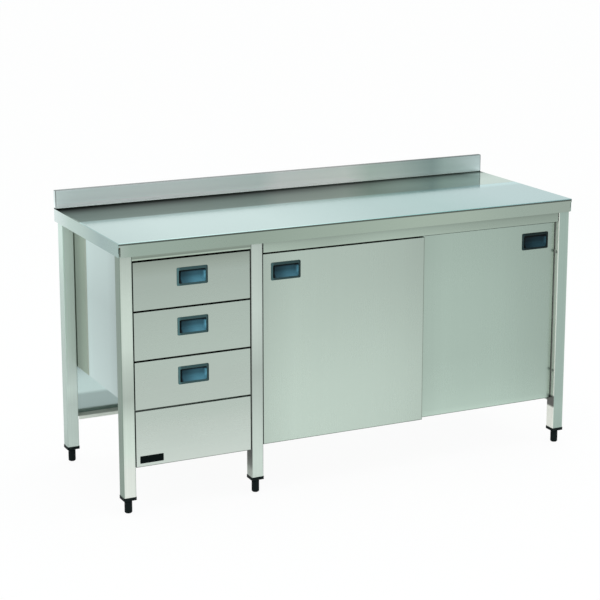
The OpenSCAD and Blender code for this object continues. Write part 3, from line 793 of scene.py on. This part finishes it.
# painted light across the right door and by height
RIGHT_DOOR_PAINTED_LIGHT = shares(
    (0.2435, 0.97), (0.33, 1.04), (0.42, 1.02), (0.55, 0.98), (0.65, 0.90), (0.7545, 0.84)
)
RIGHT_DOOR_PAINTED_RISE = shares(
    (0.158, 1.30), (0.18, 1.15), (0.25, 1.06), (0.35, 1.0), (0.60, 0.98), (0.70, 0.95), (0.77, 0.94)
)
# painted light along and up the left side panel
SIDE_PAINTED_LIGHT = shares((-0.26, 0.70), (-0.15, 0.76), (-0.07, 0.93), (0.05, 1.0), (0.13, 1.10), (0.30, 1.0))
SIDE_PAINTED_RISE = shares((0.32, 1.06), (0.45, 0.99), (0.60, 0.95), (0.75, 1.12), (0.81, 1.14))

# the upstand's light colour is painted light; the rear colour is a painted reflection of the upstand
TOP_STEEL = WorktopSteel("steel_top", EDGE_GREY, (0.77, 0.87, 0.85), (0.37, 0.47, 0.41))
FRONT_STEEL = BrushedSteel(
    "steel_fronts",
    Grain.ALONG_X,
    (0.465, 0.540, 0.485),
    # painted light by height, painted shade in the gaps and a painted shade line along the fixed panel's
    # bottom edge
    shades=(
        Fade(Axis.Z, 0.15, 0.80, 1.18, 0.92),
        Run(Axis.Z, FRONT_PAINTED_LIGHT),
        painted_gap_shade(FRONT_FACE),
        Strip(Axis.Z, 0.140, 0.1485, PAINTED_SHADE_GREY),
    ),
)
LEFT_DOOR_STEEL = BrushedSteel(
    "steel_left_door",
    Grain.ALONG_Z,
    (0.500, 0.590, 0.525),
    # painted light by height and across the door, painted shade in the gaps, along the bottom edge and along
    # its right edge
    shades=(
        Fade(Axis.Z, 0.15, 0.78, 1.14, 0.92),
        Run(Axis.X, LEFT_DOOR_PAINTED_LIGHT),
        painted_gap_shade(FRONT_FACE),
        Strip(Axis.Z, 0.150, 0.1605, PAINTED_SHADE_GREY),
        Strip(Axis.X, 0.2405, 0.2450, (0.60, 0.60, 0.58)),
    ),
)
# painted shade: the right door's tint is darker than the left door's; painted light by height and across it,
# painted shade in the gaps and along its bottom and right edges
RIGHT_DOOR_STEEL = BrushedSteel(
    "steel_right_door",
    Grain.ALONG_Z,
    (0.425, 0.527, 0.463),
    shades=(
        Run(Axis.Z, RIGHT_DOOR_PAINTED_RISE),
        Run(Axis.X, RIGHT_DOOR_PAINTED_LIGHT),
        painted_gap_shade(RIGHT_DOOR_FACE),
        Strip(Axis.Z, 0.150, 0.1605, PAINTED_SHADE_GREY),
        Strip(Axis.X, 0.7515, 0.7560, PAINTED_SHADE_GREY),
    ),
)
SIDE_STEEL = BrushedSteel(
    "steel_side_panel",
    Grain.ALONG_Z,
    BLUISH,
    0.13,
    shades=(
        Run(Axis.Y, SIDE_PAINTED_LIGHT),
        Run(Axis.Z, SIDE_PAINTED_RISE),
        # painted reflection of the rear left leg: a warm, darker strip towards the rear
        Strip(Axis.Y, 0.121, 0.300, (0.64, 0.555, 0.475), 0.8 * MM),
        Fade(Axis.Y, 0.150, 0.220, 1.0, 0.68),
    ),
)
# painted light: the back panels' bottom lip drawn much lighter, and less metallic
PAINTED_LIT_BACK_LIP = Strip(Axis.Y, 0.20, 0.2743, (2.40, 1.98, 1.85), 0.1 * MM)
BACK_STEEL = BrushedSteel(
    "steel_back_panels",
    Grain.ALONG_Z,
    BLUISH,
    0.16,
    # painted reflection: the lower part of the back panels darker
    shades=(Fade(Axis.Z, 0.216, 0.230, 0.82, 1.25), PAINTED_LIT_BACK_LIP),
    dull=PAINTED_LIT_BACK_LIP,
)
# painted shade: a darker tint than the fronts under the worktop, with painted light by height and along the
# rail
RAIL_STEEL = BrushedSteel(
    "steel_door_rail",
    Grain.ALONG_X,
    (0.290, 0.352, 0.302),
    shades=(
        Run(Axis.Z, shares((0.775, 1.48), (0.787, 1.36), (0.795, 1.30), (0.803, 1.14), (0.83, 1.0))),
        Run(Axis.X, shares((-0.33, 1.05), (-0.1, 0.96), (0.1, 1.06), (0.3, 0.98), (0.5, 0.87), (0.75, 0.79))),
    ),
)
# painted shade: the drawer rail's very dark tint under the worktop, with a painted highlight on its bottom
# lip
PAINTED_SHADE_RAIL_STEEL = BrushedSteel(
    "steel_drawer_rail",
    Grain.ALONG_X,
    (0.20, 0.242, 0.204),
    shades=(Run(Axis.Z, shares((0.791, 2.4), (0.7955, 2.2), (0.798, 1.15), (0.803, 1.40), (0.83, 1.0))),),
)
INNER_STEEL = BrushedSteel("steel_inside", Grain.ALONG_X, PALE, 0.30, 0.03)
ZINC = PlainMetal("zinc", (0.60, 0.61, 0.62), 0.38)
BLACK_ZINC = PlainMetal("black_zinc", (0.02, 0.025, 0.02), 0.55)
ALUMINIUM = PlainMetal("drawn_aluminium", (0.72, 0.73, 0.74), 0.34, 60.0)
BLACK_PLASTIC = Moulded("foot_black", (0.009, 0.014, 0.014), 0.55, 0.05)
WHITE_PLASTIC = Moulded("white_plastic", (0.72, 0.71, 0.66), 0.45)
RUBBER = Moulded("rubber", (0.20, 0.225, 0.20), 0.75)
PLATE_BLACK = Moulded("plate_black", (0.003, 0.006, 0.006), 0.40, 0.03)
BOARD = ChipBoard("chip_board")


# ---- modelling


class Moulding:
    """A bmesh on its way to becoming a piece of the table."""

    def __init__(self, name: str) -> None:
        """Starts an empty mesh."""
        self.name = name
        self.bm = bmesh.new()

    def slab(self, low: Sequence[float], high: Sequence[float]) -> None:
        """Adds a block between two corners.

        Args:
            low: lowest corner in metres.
            high: highest corner in metres.
        """
        made = bmesh.ops.create_cube(self.bm, size=1.0)["verts"]
        size = Vector(high) - Vector(low)
        bmesh.ops.scale(self.bm, verts=made, vec=size)
        bmesh.ops.translate(self.bm, verts=made, vec=(Vector(low) + Vector(high)) / 2)

    def round_edges(self, edges: Iterable, radius: float, segments: int) -> None:
        """Rounds some edges.

        Args:
            edges: the edges.
            radius: radius of the rounding.
            segments: number of faces across it.
        """
        bmesh.ops.bevel(
            self.bm,
            geom=list(edges),
            offset=radius,
            segments=segments,
            profile=0.5,
            affect="EDGES",
            material=-1,
            clamp_overlap=True,
        )

    def edges_along(self, axis: Axis) -> list:
        """Finds the edges that run along one axis.

        Args:
            axis: the axis.

        Returns:
            The edges.
        """
        found = []
        for edge in self.bm.edges:
            run = edge.verts[1].co - edge.verts[0].co
            if run.length and abs(run[axis.value]) > 0.999 * run.length:
                found.append(edge)
        return found

    def face_towards(self, direction: Sequence[float]) -> Any:
        """Largest face that looks in one direction."""
        facing = [f for f in self.bm.faces if f.normal.dot(Vector(direction)) > 0.999]
        return max(facing, key=lambda f: f.calc_area())

    def upright(
        self, left: float, right: float, bottom: float, top: float, corner: float, y: float
    ) -> Any:
        """Adds an upright rectangle with round corners that faces the front.

        Args:
            left: lowest X.
            right: highest X.
            bottom: lowest Z.
            top: highest Z.
            corner: corner radius.
            y: its place along Y.

        Returns:
            Its face.
        """
        verts = bmesh.ops.create_grid(self.bm, x_segments=1, y_segments=1, size=0.5)["verts"]
        bmesh.ops.scale(self.bm, verts=verts, vec=(right - left, top - bottom, 1.0))
        made = bmesh.ops.bevel(
            self.bm,
            geom=verts,
            offset=corner,
            segments=5,
            profile=0.5,
            affect="VERTICES",
            material=-1,
        )
        face = max(made["verts"][0].link_faces, key=lambda f: f.calc_area())
        place = Matrix.Translation(((left + right) / 2, y, (bottom + top) / 2))
        bmesh.ops.transform(
            self.bm, matrix=place @ Matrix.Rotation(math.pi / 2, 4, "X"), verts=list(face.verts)
        )
        return face

    def step(self, face: Any, left: float, right: float, bottom: float, top: float, y: float) -> Any:
        """Carries an upright face on to another place and size, with walls between.

        Args:
            face: the face to carry on from.
            left: lowest X.
            right: highest X.
            bottom: lowest Z.
            top: highest Z.
            y: its place along Y.

        Returns:
            The carried face.
        """
        made = bmesh.ops.extrude_discrete_faces(self.bm, faces=[face])["faces"][0]
        verts = list(made.verts)
        low = Vector(tuple(min(vert.co[k] for vert in verts) for k in range(3)))
        high = Vector(tuple(max(vert.co[k] for vert in verts) for k in range(3)))
        stretch = ((right - left) / (high.x - low.x), 1.0, (top - bottom) / (high.z - low.z), 1.0)
        place = Matrix.Translation(((left + right) / 2, y, (bottom + top) / 2))
        matrix = place @ Matrix.Diagonal(stretch) @ Matrix.Translation(-(low + high) / 2)
        bmesh.ops.transform(self.bm, matrix=matrix, verts=verts)
        return made

    def revolve(self, profile: Sequence[Tuple[float, float]], centre: Sequence[float]) -> None:
        """Turns an outline about a vertical axis.

        Args:
            profile: radius and height of each point, from the foot to the top.
            centre: place of the axis.
        """
        verts = [self.bm.verts.new((r, 0.0, z)) for r, z in profile]
        edges = [self.bm.edges.new(pair) for pair in zip(verts, verts[1:])]
        bmesh.ops.spin(
            self.bm,
            geom=verts + edges,
            cent=(0, 0, 0),
            axis=(0, 0, 1),
            angle=2 * math.pi,
            steps=48,
            use_merge=True,
        )
        bmesh.ops.remove_doubles(self.bm, verts=self.bm.verts, dist=1e-6)
        bmesh.ops.translate(self.bm, verts=self.bm.verts, vec=Vector(centre))

    def finish(
        self,
        finish: Finish,
        body: str,
        slot: str,
        nodes: Sequence[str] = (),
        open_shell: bool = False,
    ) -> bpy.types.Object:
        """Turns the mesh into a piece that rides on a body.

        Args:
            finish: the finish of the whole piece.
            body: the body that carries it.
            slot: the name of a material slot; not used.
            nodes: the nodes that it stands for.
            open_shell: whether the faces already look the right way.

        Returns:
            The object.
        """
        if not open_shell:
            bmesh.ops.recalc_face_normals(self.bm, faces=self.bm.faces)
        mesh = bpy.data.meshes.new(self.name)
        self.bm.to_mesh(mesh)
        self.bm.free()
        mesh.shade_smooth()
        mesh.set_sharp_from_angle(angle=SHARP_ANGLE)
        mesh.materials.append(finish.material())
        piece = bpy.data.objects.new(self.name, mesh)
        bpy.context.scene.collection.objects.link(piece)
        if nodes:
            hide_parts(*nodes)
        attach(piece, body)
        LOG.info("%s on %s: %d faces", self.name, body, len(mesh.polygons))
        return piece


def dress(nodes: Iterable[str], finish: Finish) -> None:
    """Gives some CAD nodes a finish.

    Args:
        nodes: names of the nodes.
        finish: the finish.
    """
    for name in nodes:
        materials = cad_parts[name].data.materials
        materials.clear()
        materials.append(finish.material())
        LOG.info("%s dressed as %s", name, finish.name)


# ---- sub-assemblies


@dataclass
class CupHandle:
    """Recessed plastic handle: a flat rim round a cup that narrows to its floor, with a finger lip."""

    node: str
    body: str
    border: float = 6.5 * MM
    corner: float = 4.0 * MM
    slope: float = 12.0 * MM
    wall: float = 1.2 * MM
    lip: float = 2.5 * MM
    proud: float = 1.8 * MM
    # painted shade: how bright this handle is drawn next to the drawers' handles
    level: float = 1.0

    def build(self) -> bpy.types.Object:
        """Builds the handle in the place of its node.

        Returns:
            The handle.
        """
        low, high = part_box(self.node)
        front, floor = low[1], high[1] - self.wall
        left, right, bottom, top = low[0], high[0], low[2], high[2]
        mouth = (left + self.border, right - self.border, bottom + self.border, top - self.border)
        lip_back = front + self.proud + self.wall
        work = Moulding(f"{self.node}_moulded")
        # the rim's rounded outside, and then its inside
        face = work.upright(left, right, bottom, top, self.corner, front + self.proud)
        for inset, depth in ((0.0, 0.7), (0.2, 0.2), (0.8, 0.0)):
            d = inset * MM
            face = work.step(face, left + d, right - d, bottom + d, top - d, front + depth * MM)
        for outset, depth in ((0.7, 0.0), (0.2, 0.25), (0.0, 0.8)):
            d = outset * MM
            face = work.step(
                face, mouth[0] - d, mouth[1] + d, mouth[2] - d, mouth[3] - self.lip + d, front + depth * MM
            )
        # the back of the finger lip, and the slopes down to the floor
        face = work.step(face, mouth[0], mouth[1], mouth[2], mouth[3] - self.lip, lip_back - 0.2 * MM)
        d = 0.2 * MM
        face = work.step(face, mouth[0] + d, mouth[1] - d, mouth[2] + d, mouth[3], lip_back)
        for short, depth in ((0.8, 0.7), (0.0, 0.0)):
            d = self.slope - short * MM
            face = work.step(
                face, mouth[0] + d, mouth[1] - d, mouth[2] + d, mouth[3] - 0.5 * MM, floor - depth * MM
            )
        plastic = CupPlastic(f"blue_grey_{self.node}", low, high, self.level)
        piece = work.finish(plastic, self.body, "blue_plastic", [self.node], open_shell=True)
        shell = piece.modifiers.new("wall", "SOLIDIFY")
        shell.thickness = self.wall
        shell.offset = -1.0
        return piece


@dataclass
class Foot:
    """Adjustable foot: a plastic cylinder with a rounded rim and a plain spindle."""

    node: str
    spindle: float = 5.0 * MM
    sleeve_top: float = 43.7 * MM
    groove: float = 0.8 * MM

    def build(self) -> bpy.types.Object:
        """Builds the foot in the place of its node.

        Returns:
            The foot.
        """
        low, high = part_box(self.node)
        radius = (high[0] - low[0]) / 2
        centre = ((low[0] + high[0]) / 2, (low[1] + high[1]) / 2, 0.0)
        top = self.sleeve_top
        profile = [
            (0.0, 0.0),
            (radius - 3.2 * MM, 0.0),
            (radius - 2.2 * MM, 0.5 * MM),
            (radius - 0.5 * MM, 2.4 * MM),
            (radius, 3.6 * MM),
            (radius, top - 7.0 * MM),
            (radius - self.groove, top - 6.2 * MM),
            (radius - self.groove, top - 5.0 * MM),
            (radius, top - 4.2 * MM),
            (radius, top - 0.8 * MM),
            (radius - 0.8 * MM, top),
            (self.spindle, top),
            (self.spindle, high[2]),
            (0.0, high[2]),
        ]
        work = Moulding(f"{self.node}_moulded")
        work.revolve(profile, centre)
        return work.finish(BLACK_PLASTIC, self.node, "black_plastic", [self.node])


@dataclass
class BarePlate:
    """Blank black plate with a slightly raised edge."""

    node: str = "nameplate"
    edge: float = 1.1 * MM

    def build(self) -> bpy.types.Object:
        """Builds the plate in the place of its node.

        Returns:
            The plate.
        """
        low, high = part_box(self.node)
        work = Moulding("bare_plate")
        work.slab(low, high)
        work.round_edges(work.edges_along(Axis.Y), 1.2 * MM, 3)
        face = work.face_towards((0, -1, 0))
        bmesh.ops.inset_region(work.bm, faces=[face], thickness=self.edge, depth=0.0)
        bmesh.ops.inset_region(work.bm, faces=[face], thickness=0.2 * MM, depth=-0.3 * MM)
        return work.finish(PLATE_BLACK, "frame", "plate", [self.node])


@dataclass(frozen=True)
class LegLook:
    """Painted light and shade of one leg by height; the right side is like the left one where it has none of
    its own.
    """

    front: Stops
    left_side: Stops
    right_side: Optional[Stops] = None


# painted light and shade: the legs are one steel, drawn lighter or darker per leg, per face and by height
FRONT_LEFT = LegLook(
    scaled((0.675, 0.705, 0.655), (0.05, 1.32), (0.14, 1.24))
    + scaled(
        (0.62, 0.70, 0.63),
        (0.20, 1.20),
        (0.29, 1.07),
        (0.365, 0.76),
        (0.445, 0.88),
        (0.525, 1.08),
        (0.60, 1.09),
        (0.68, 1.03),
        (0.755, 0.89),
        (0.83, 0.76),
    ),
    scaled((0.228, 0.297, 0.250), (0.05, 1.1), (0.14, 1.08), (0.20, 0.98), (0.83, 1.0)),
)
FRONT_MIDDLE = LegLook(
    scaled(
        (0.60, 0.675, 0.62),
        (0.05, 1.18),
        (0.12, 1.17),
        (0.20, 1.06),
        (0.30, 0.92),
        (0.40, 0.82),
        (0.50, 0.95),
        (0.60, 1.02),
        (0.70, 0.95),
        (0.83, 0.86),
    ),
    # painted shade: the side darker below the fixed panel
    scaled(
        (0.40, 0.44, 0.40),
        (0.05, 1.1),
        (0.075, 1.0),
        (0.095, 0.42),
        (0.12, 0.24),
        (0.135, 0.18),
        (0.150, 0.20),
        (0.165, 0.45),
        (0.83, 0.5),
    ),
)
FRONT_RIGHT = LegLook(
    scaled((0.38, 0.48, 0.43), (0.05, 1.0), (0.13, 1.07), (0.17, 1.0), (0.83, 1.02)),
    # painted reflection: a dark patch on the inner side just below the door
    scaled(
        CREAM_PAINTED_LIGHT,
        (0.05, 1.02),
        (0.126, 1.02),
        (0.133, 0.15),
        (0.166, 0.15),
        (0.172, 0.80),
        (0.30, 0.85),
        (0.50, 1.02),
    ),
    scaled(CREAM_PAINTED_LIGHT, (0.05, 0.85), (0.83, 0.85)),
)
REAR_LEFT = LegLook(
    scaled((0.86, 1.00, 0.93), (0.05, 0.75), (0.20, 0.78), (0.26, 1.0), (0.83, 1.0)),
    scaled(
        (0.55, 0.66, 0.61), (0.05, 0.75), (0.12, 0.88), (0.40, 0.88), (0.60, 1.0), (0.78, 1.3), (0.83, 1.3)
    ),
)
REAR = LegLook(scaled(PALE, (0.05, 1.0), (0.83, 1.0)), scaled(PALE, (0.05, 0.9), (0.83, 0.9)))


@dataclass(frozen=True)
class DoorLook:
    """Finish of one door's shell, and how bright its handle is drawn next to those of the drawers, as painted
    shade.
    """

    steel: BrushedSteel
    handle_painted_shade: float


@dataclass
class Table:
    """The whole table: dresses the CAD nodes and builds the moulded pieces."""

    drawers: Tuple[str, ...] = ("upper", "middle", "lower")
    doors: Tuple[Tuple[str, DoorLook], ...] = (
        ("left", DoorLook(LEFT_DOOR_STEEL, 0.72)),
        ("right", DoorLook(RIGHT_DOOR_STEEL, 0.24)),
    )
    legs: Tuple[Tuple[str, LegLook], ...] = (
        ("front_left", FRONT_LEFT),
        ("front_middle", FRONT_MIDDLE),
        ("front_right", FRONT_RIGHT),
        ("rear_left", REAR_LEFT),
        ("rear_middle", REAR),
        ("rear_right", REAR),
    )

    def dress_frame(self) -> None:
        """Gives the fixed steel parts their finishes."""
        dress(["worktop"], TOP_STEEL)
        dress(["core_board"], BOARD)
        for place, look in self.legs:
            self.dress_leg(place, look)
        dress(["foot_inserts"], BLACK_PLASTIC)
        dress(["frame_rails", "door_rail"], RAIL_STEEL)
        dress(["drawer_rail"], PAINTED_SHADE_RAIL_STEEL)
        dress(["left_side_panel"], SIDE_STEEL)
        dress(["middle_partition", "right_side_panel"], INNER_STEEL)
        dress(["drawer_bay_back", "cupboard_back"], BACK_STEEL)
        dress(["blind_panel"], FRONT_STEEL)
        dress(["cupboard_floor", "middle_shelf"], INNER_STEEL)
        dress(["cabinet_runners", "shelf_brackets", "door_guide", "fixing_screws"], ZINC)
        dress(["door_track"], ALUMINIUM)
        dress(["door_buffers"], RUBBER)

    def dress_leg(self, place: str, look: LegLook) -> None:
        """Gives one leg its finish.

        Args:
            place: the leg's place.
            look: its colours.
        """
        node = f"{place}_leg"
        (left, *_), (right, *_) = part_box(node)
        right_side = look.right_side or look.left_side
        dress([node], TubeSteel(f"steel_{node}", left, right, look.front, look.left_side, right_side))

    def dress_movers(self) -> None:
        """Gives the drawers and doors their finishes."""
        for name in self.drawers:
            dress([f"{name}_drawer_front"], FRONT_STEEL)
            dress([f"{name}_drawer_box"], INNER_STEEL)
            dress([f"{name}_drawer_runners", f"{name}_middle_runners"], ZINC)
        for name, look in self.doors:
            dress([f"{name}_door_shell"], look.steel)
            dress([f"{name}_door_back"], INNER_STEEL)
            dress([f"{name}_door_hangers"], BLACK_ZINC)
            dress([f"{name}_door_roller_a", f"{name}_door_roller_b"], WHITE_PLASTIC)

    def build(self) -> None:
        """Dresses every node and builds the moulded pieces."""
        self.dress_frame()
        self.dress_movers()
        for name in self.drawers:
            CupHandle(f"{name}_drawer_handle", f"{name}_drawer").build()
        for name, look in self.doors:
            CupHandle(f"{name}_door_handle", f"{name}_door", level=look.handle_painted_shade).build()
        for place, _ in self.legs:
            Foot(f"{place}_foot").build()
        BarePlate().build()


# ---- studio


@dataclass
class Studio:
    """Pale floor, soft lamps, world and camera."""

    azimuth: float = -25.87
    elevation: float = 12.34
    lens: float = 107.16
    position: Tuple[float, float, float] = (-2.558, -5.151, 1.985)
    shift_up: float = -0.10

    def camera(self) -> None:
        """Places the camera at the photograph's viewing angle."""
        az, el = math.radians(self.azimuth), math.radians(self.elevation)
        right = Vector((math.cos(az), math.sin(az), 0.0))
        back = Vector((math.sin(az) * math.cos(el), -math.cos(az) * math.cos(el), math.sin(el)))
        up = back.cross(right)
        data = bpy.data.cameras.new("camera")
        data.sensor_width = 36.0
        data.lens = self.lens
        data.shift_y = self.shift_up
        data.clip_end = 100.0
        camera = bpy.data.objects.new("camera", data)
        turned = Matrix((right, up, back)).transposed().to_4x4()
        camera.matrix_world = Matrix.Translation(self.position) @ turned
        bpy.context.scene.collection.objects.link(camera)
        bpy.context.scene.camera = camera

    def floor(self) -> None:
        """Lays a white floor that keeps a faint shadow."""
        bm = bmesh.new()
        bmesh.ops.create_grid(bm, x_segments=1, y_segments=1, size=30.0)
        mesh = bpy.data.meshes.new("floor")
        bm.to_mesh(mesh)
        bm.free()
        floor = bpy.data.objects.new("floor", mesh)
        bpy.context.scene.collection.objects.link(floor)
        made = bpy.data.materials.new("floor_white")
        g = Graph(made)
        path = g.node("ShaderNodeLightPath")
        seen, mirrored = (Wire(g, path.outputs[name]) for name in ("Is Camera Ray", "Is Glossy Ray"))
        paint = g.node("ShaderNodeBsdfDiffuse", inputs={"Color": (0.88, 0.89, 0.89)})
        strength = 1.0 - mirrored * 0.08
        glow = g.node("ShaderNodeEmission", inputs={"Color": WHITE, "Strength": strength})
        shown = seen * 0.94 + mirrored * 0.70
        mixed = g.node("ShaderNodeMixShader", inputs={0: shown, 1: paint.outputs[0], 2: glow.outputs[0]})
        g.node("ShaderNodeOutputMaterial", inputs={"Surface": mixed.outputs[0]})
        mesh.materials.append(made)

    def lamp(
        self, name: str, place: Sequence[float], target: Sequence[float], size: float, watts: float
    ) -> None:
        """Hangs a square softbox that looks at a point.

        Args:
            name: the lamp's name.
            place: where it hangs.
            target: where it looks.
            size: length of its sides.
            watts: its power.
        """
        data = bpy.data.lights.new(name, "AREA")
        data.shape = "SQUARE"
        data.size = size
        data.energy = watts
        lamp = bpy.data.objects.new(name, data)
        lamp.location = place
        lamp.rotation_euler = (Vector(target) - Vector(place)).to_track_quat("-Z", "Y").to_euler()
        bpy.context.scene.collection.objects.link(lamp)

    def world(self) -> None:
        """Fills the room with an even light, white to the camera."""
        world = bpy.data.worlds.new("room")
        bpy.context.scene.world = world
        g = Graph(world)
        direction = g.node("ShaderNodeTexCoord").outputs["Generated"]
        parts = g.node("ShaderNodeSeparateXYZ", inputs={0: direction})
        aside, ahead = Wire(g, parts.outputs[0]), Wire(g, parts.outputs[1])
        level = g.ramp(ahead, -0.4, 0.5, 0.84, 1.19) * g.ramp(aside, 0.30, 0.55, 1.0, 0.88)
        path = g.node("ShaderNodeLightPath")
        room = g.node("ShaderNodeBackground", inputs={"Color": (0.94, 1.0, 0.99), "Strength": level})
        white = g.node("ShaderNodeBackground", inputs={"Color": WHITE, "Strength": 1.0})
        mixed = g.node(
            "ShaderNodeMixShader",
            inputs={0: path.outputs["Is Camera Ray"], 1: room.outputs[0], 2: white.outputs[0]},
        )
        g.node("ShaderNodeOutputWorld", inputs={"Surface": mixed.outputs[0]})

    def build(self) -> None:
        """Builds the studio."""
        self.camera()
        self.floor()
        self.lamp("overhead", (0.3, -0.4, 3.6), (0.0, 0.0, 0.8), 3.2, 45.0)
        self.world()
        bpy.context.scene.view_settings.view_transform = "Standard"


def main() -> None:
    """Builds the table and the studio."""
    logging.basicConfig(level=logging.INFO, format="%(message)s")
    Table().build()
    Studio().build()
    bpy.context.view_layer.update()


if __name__ == "__main__":
    main()
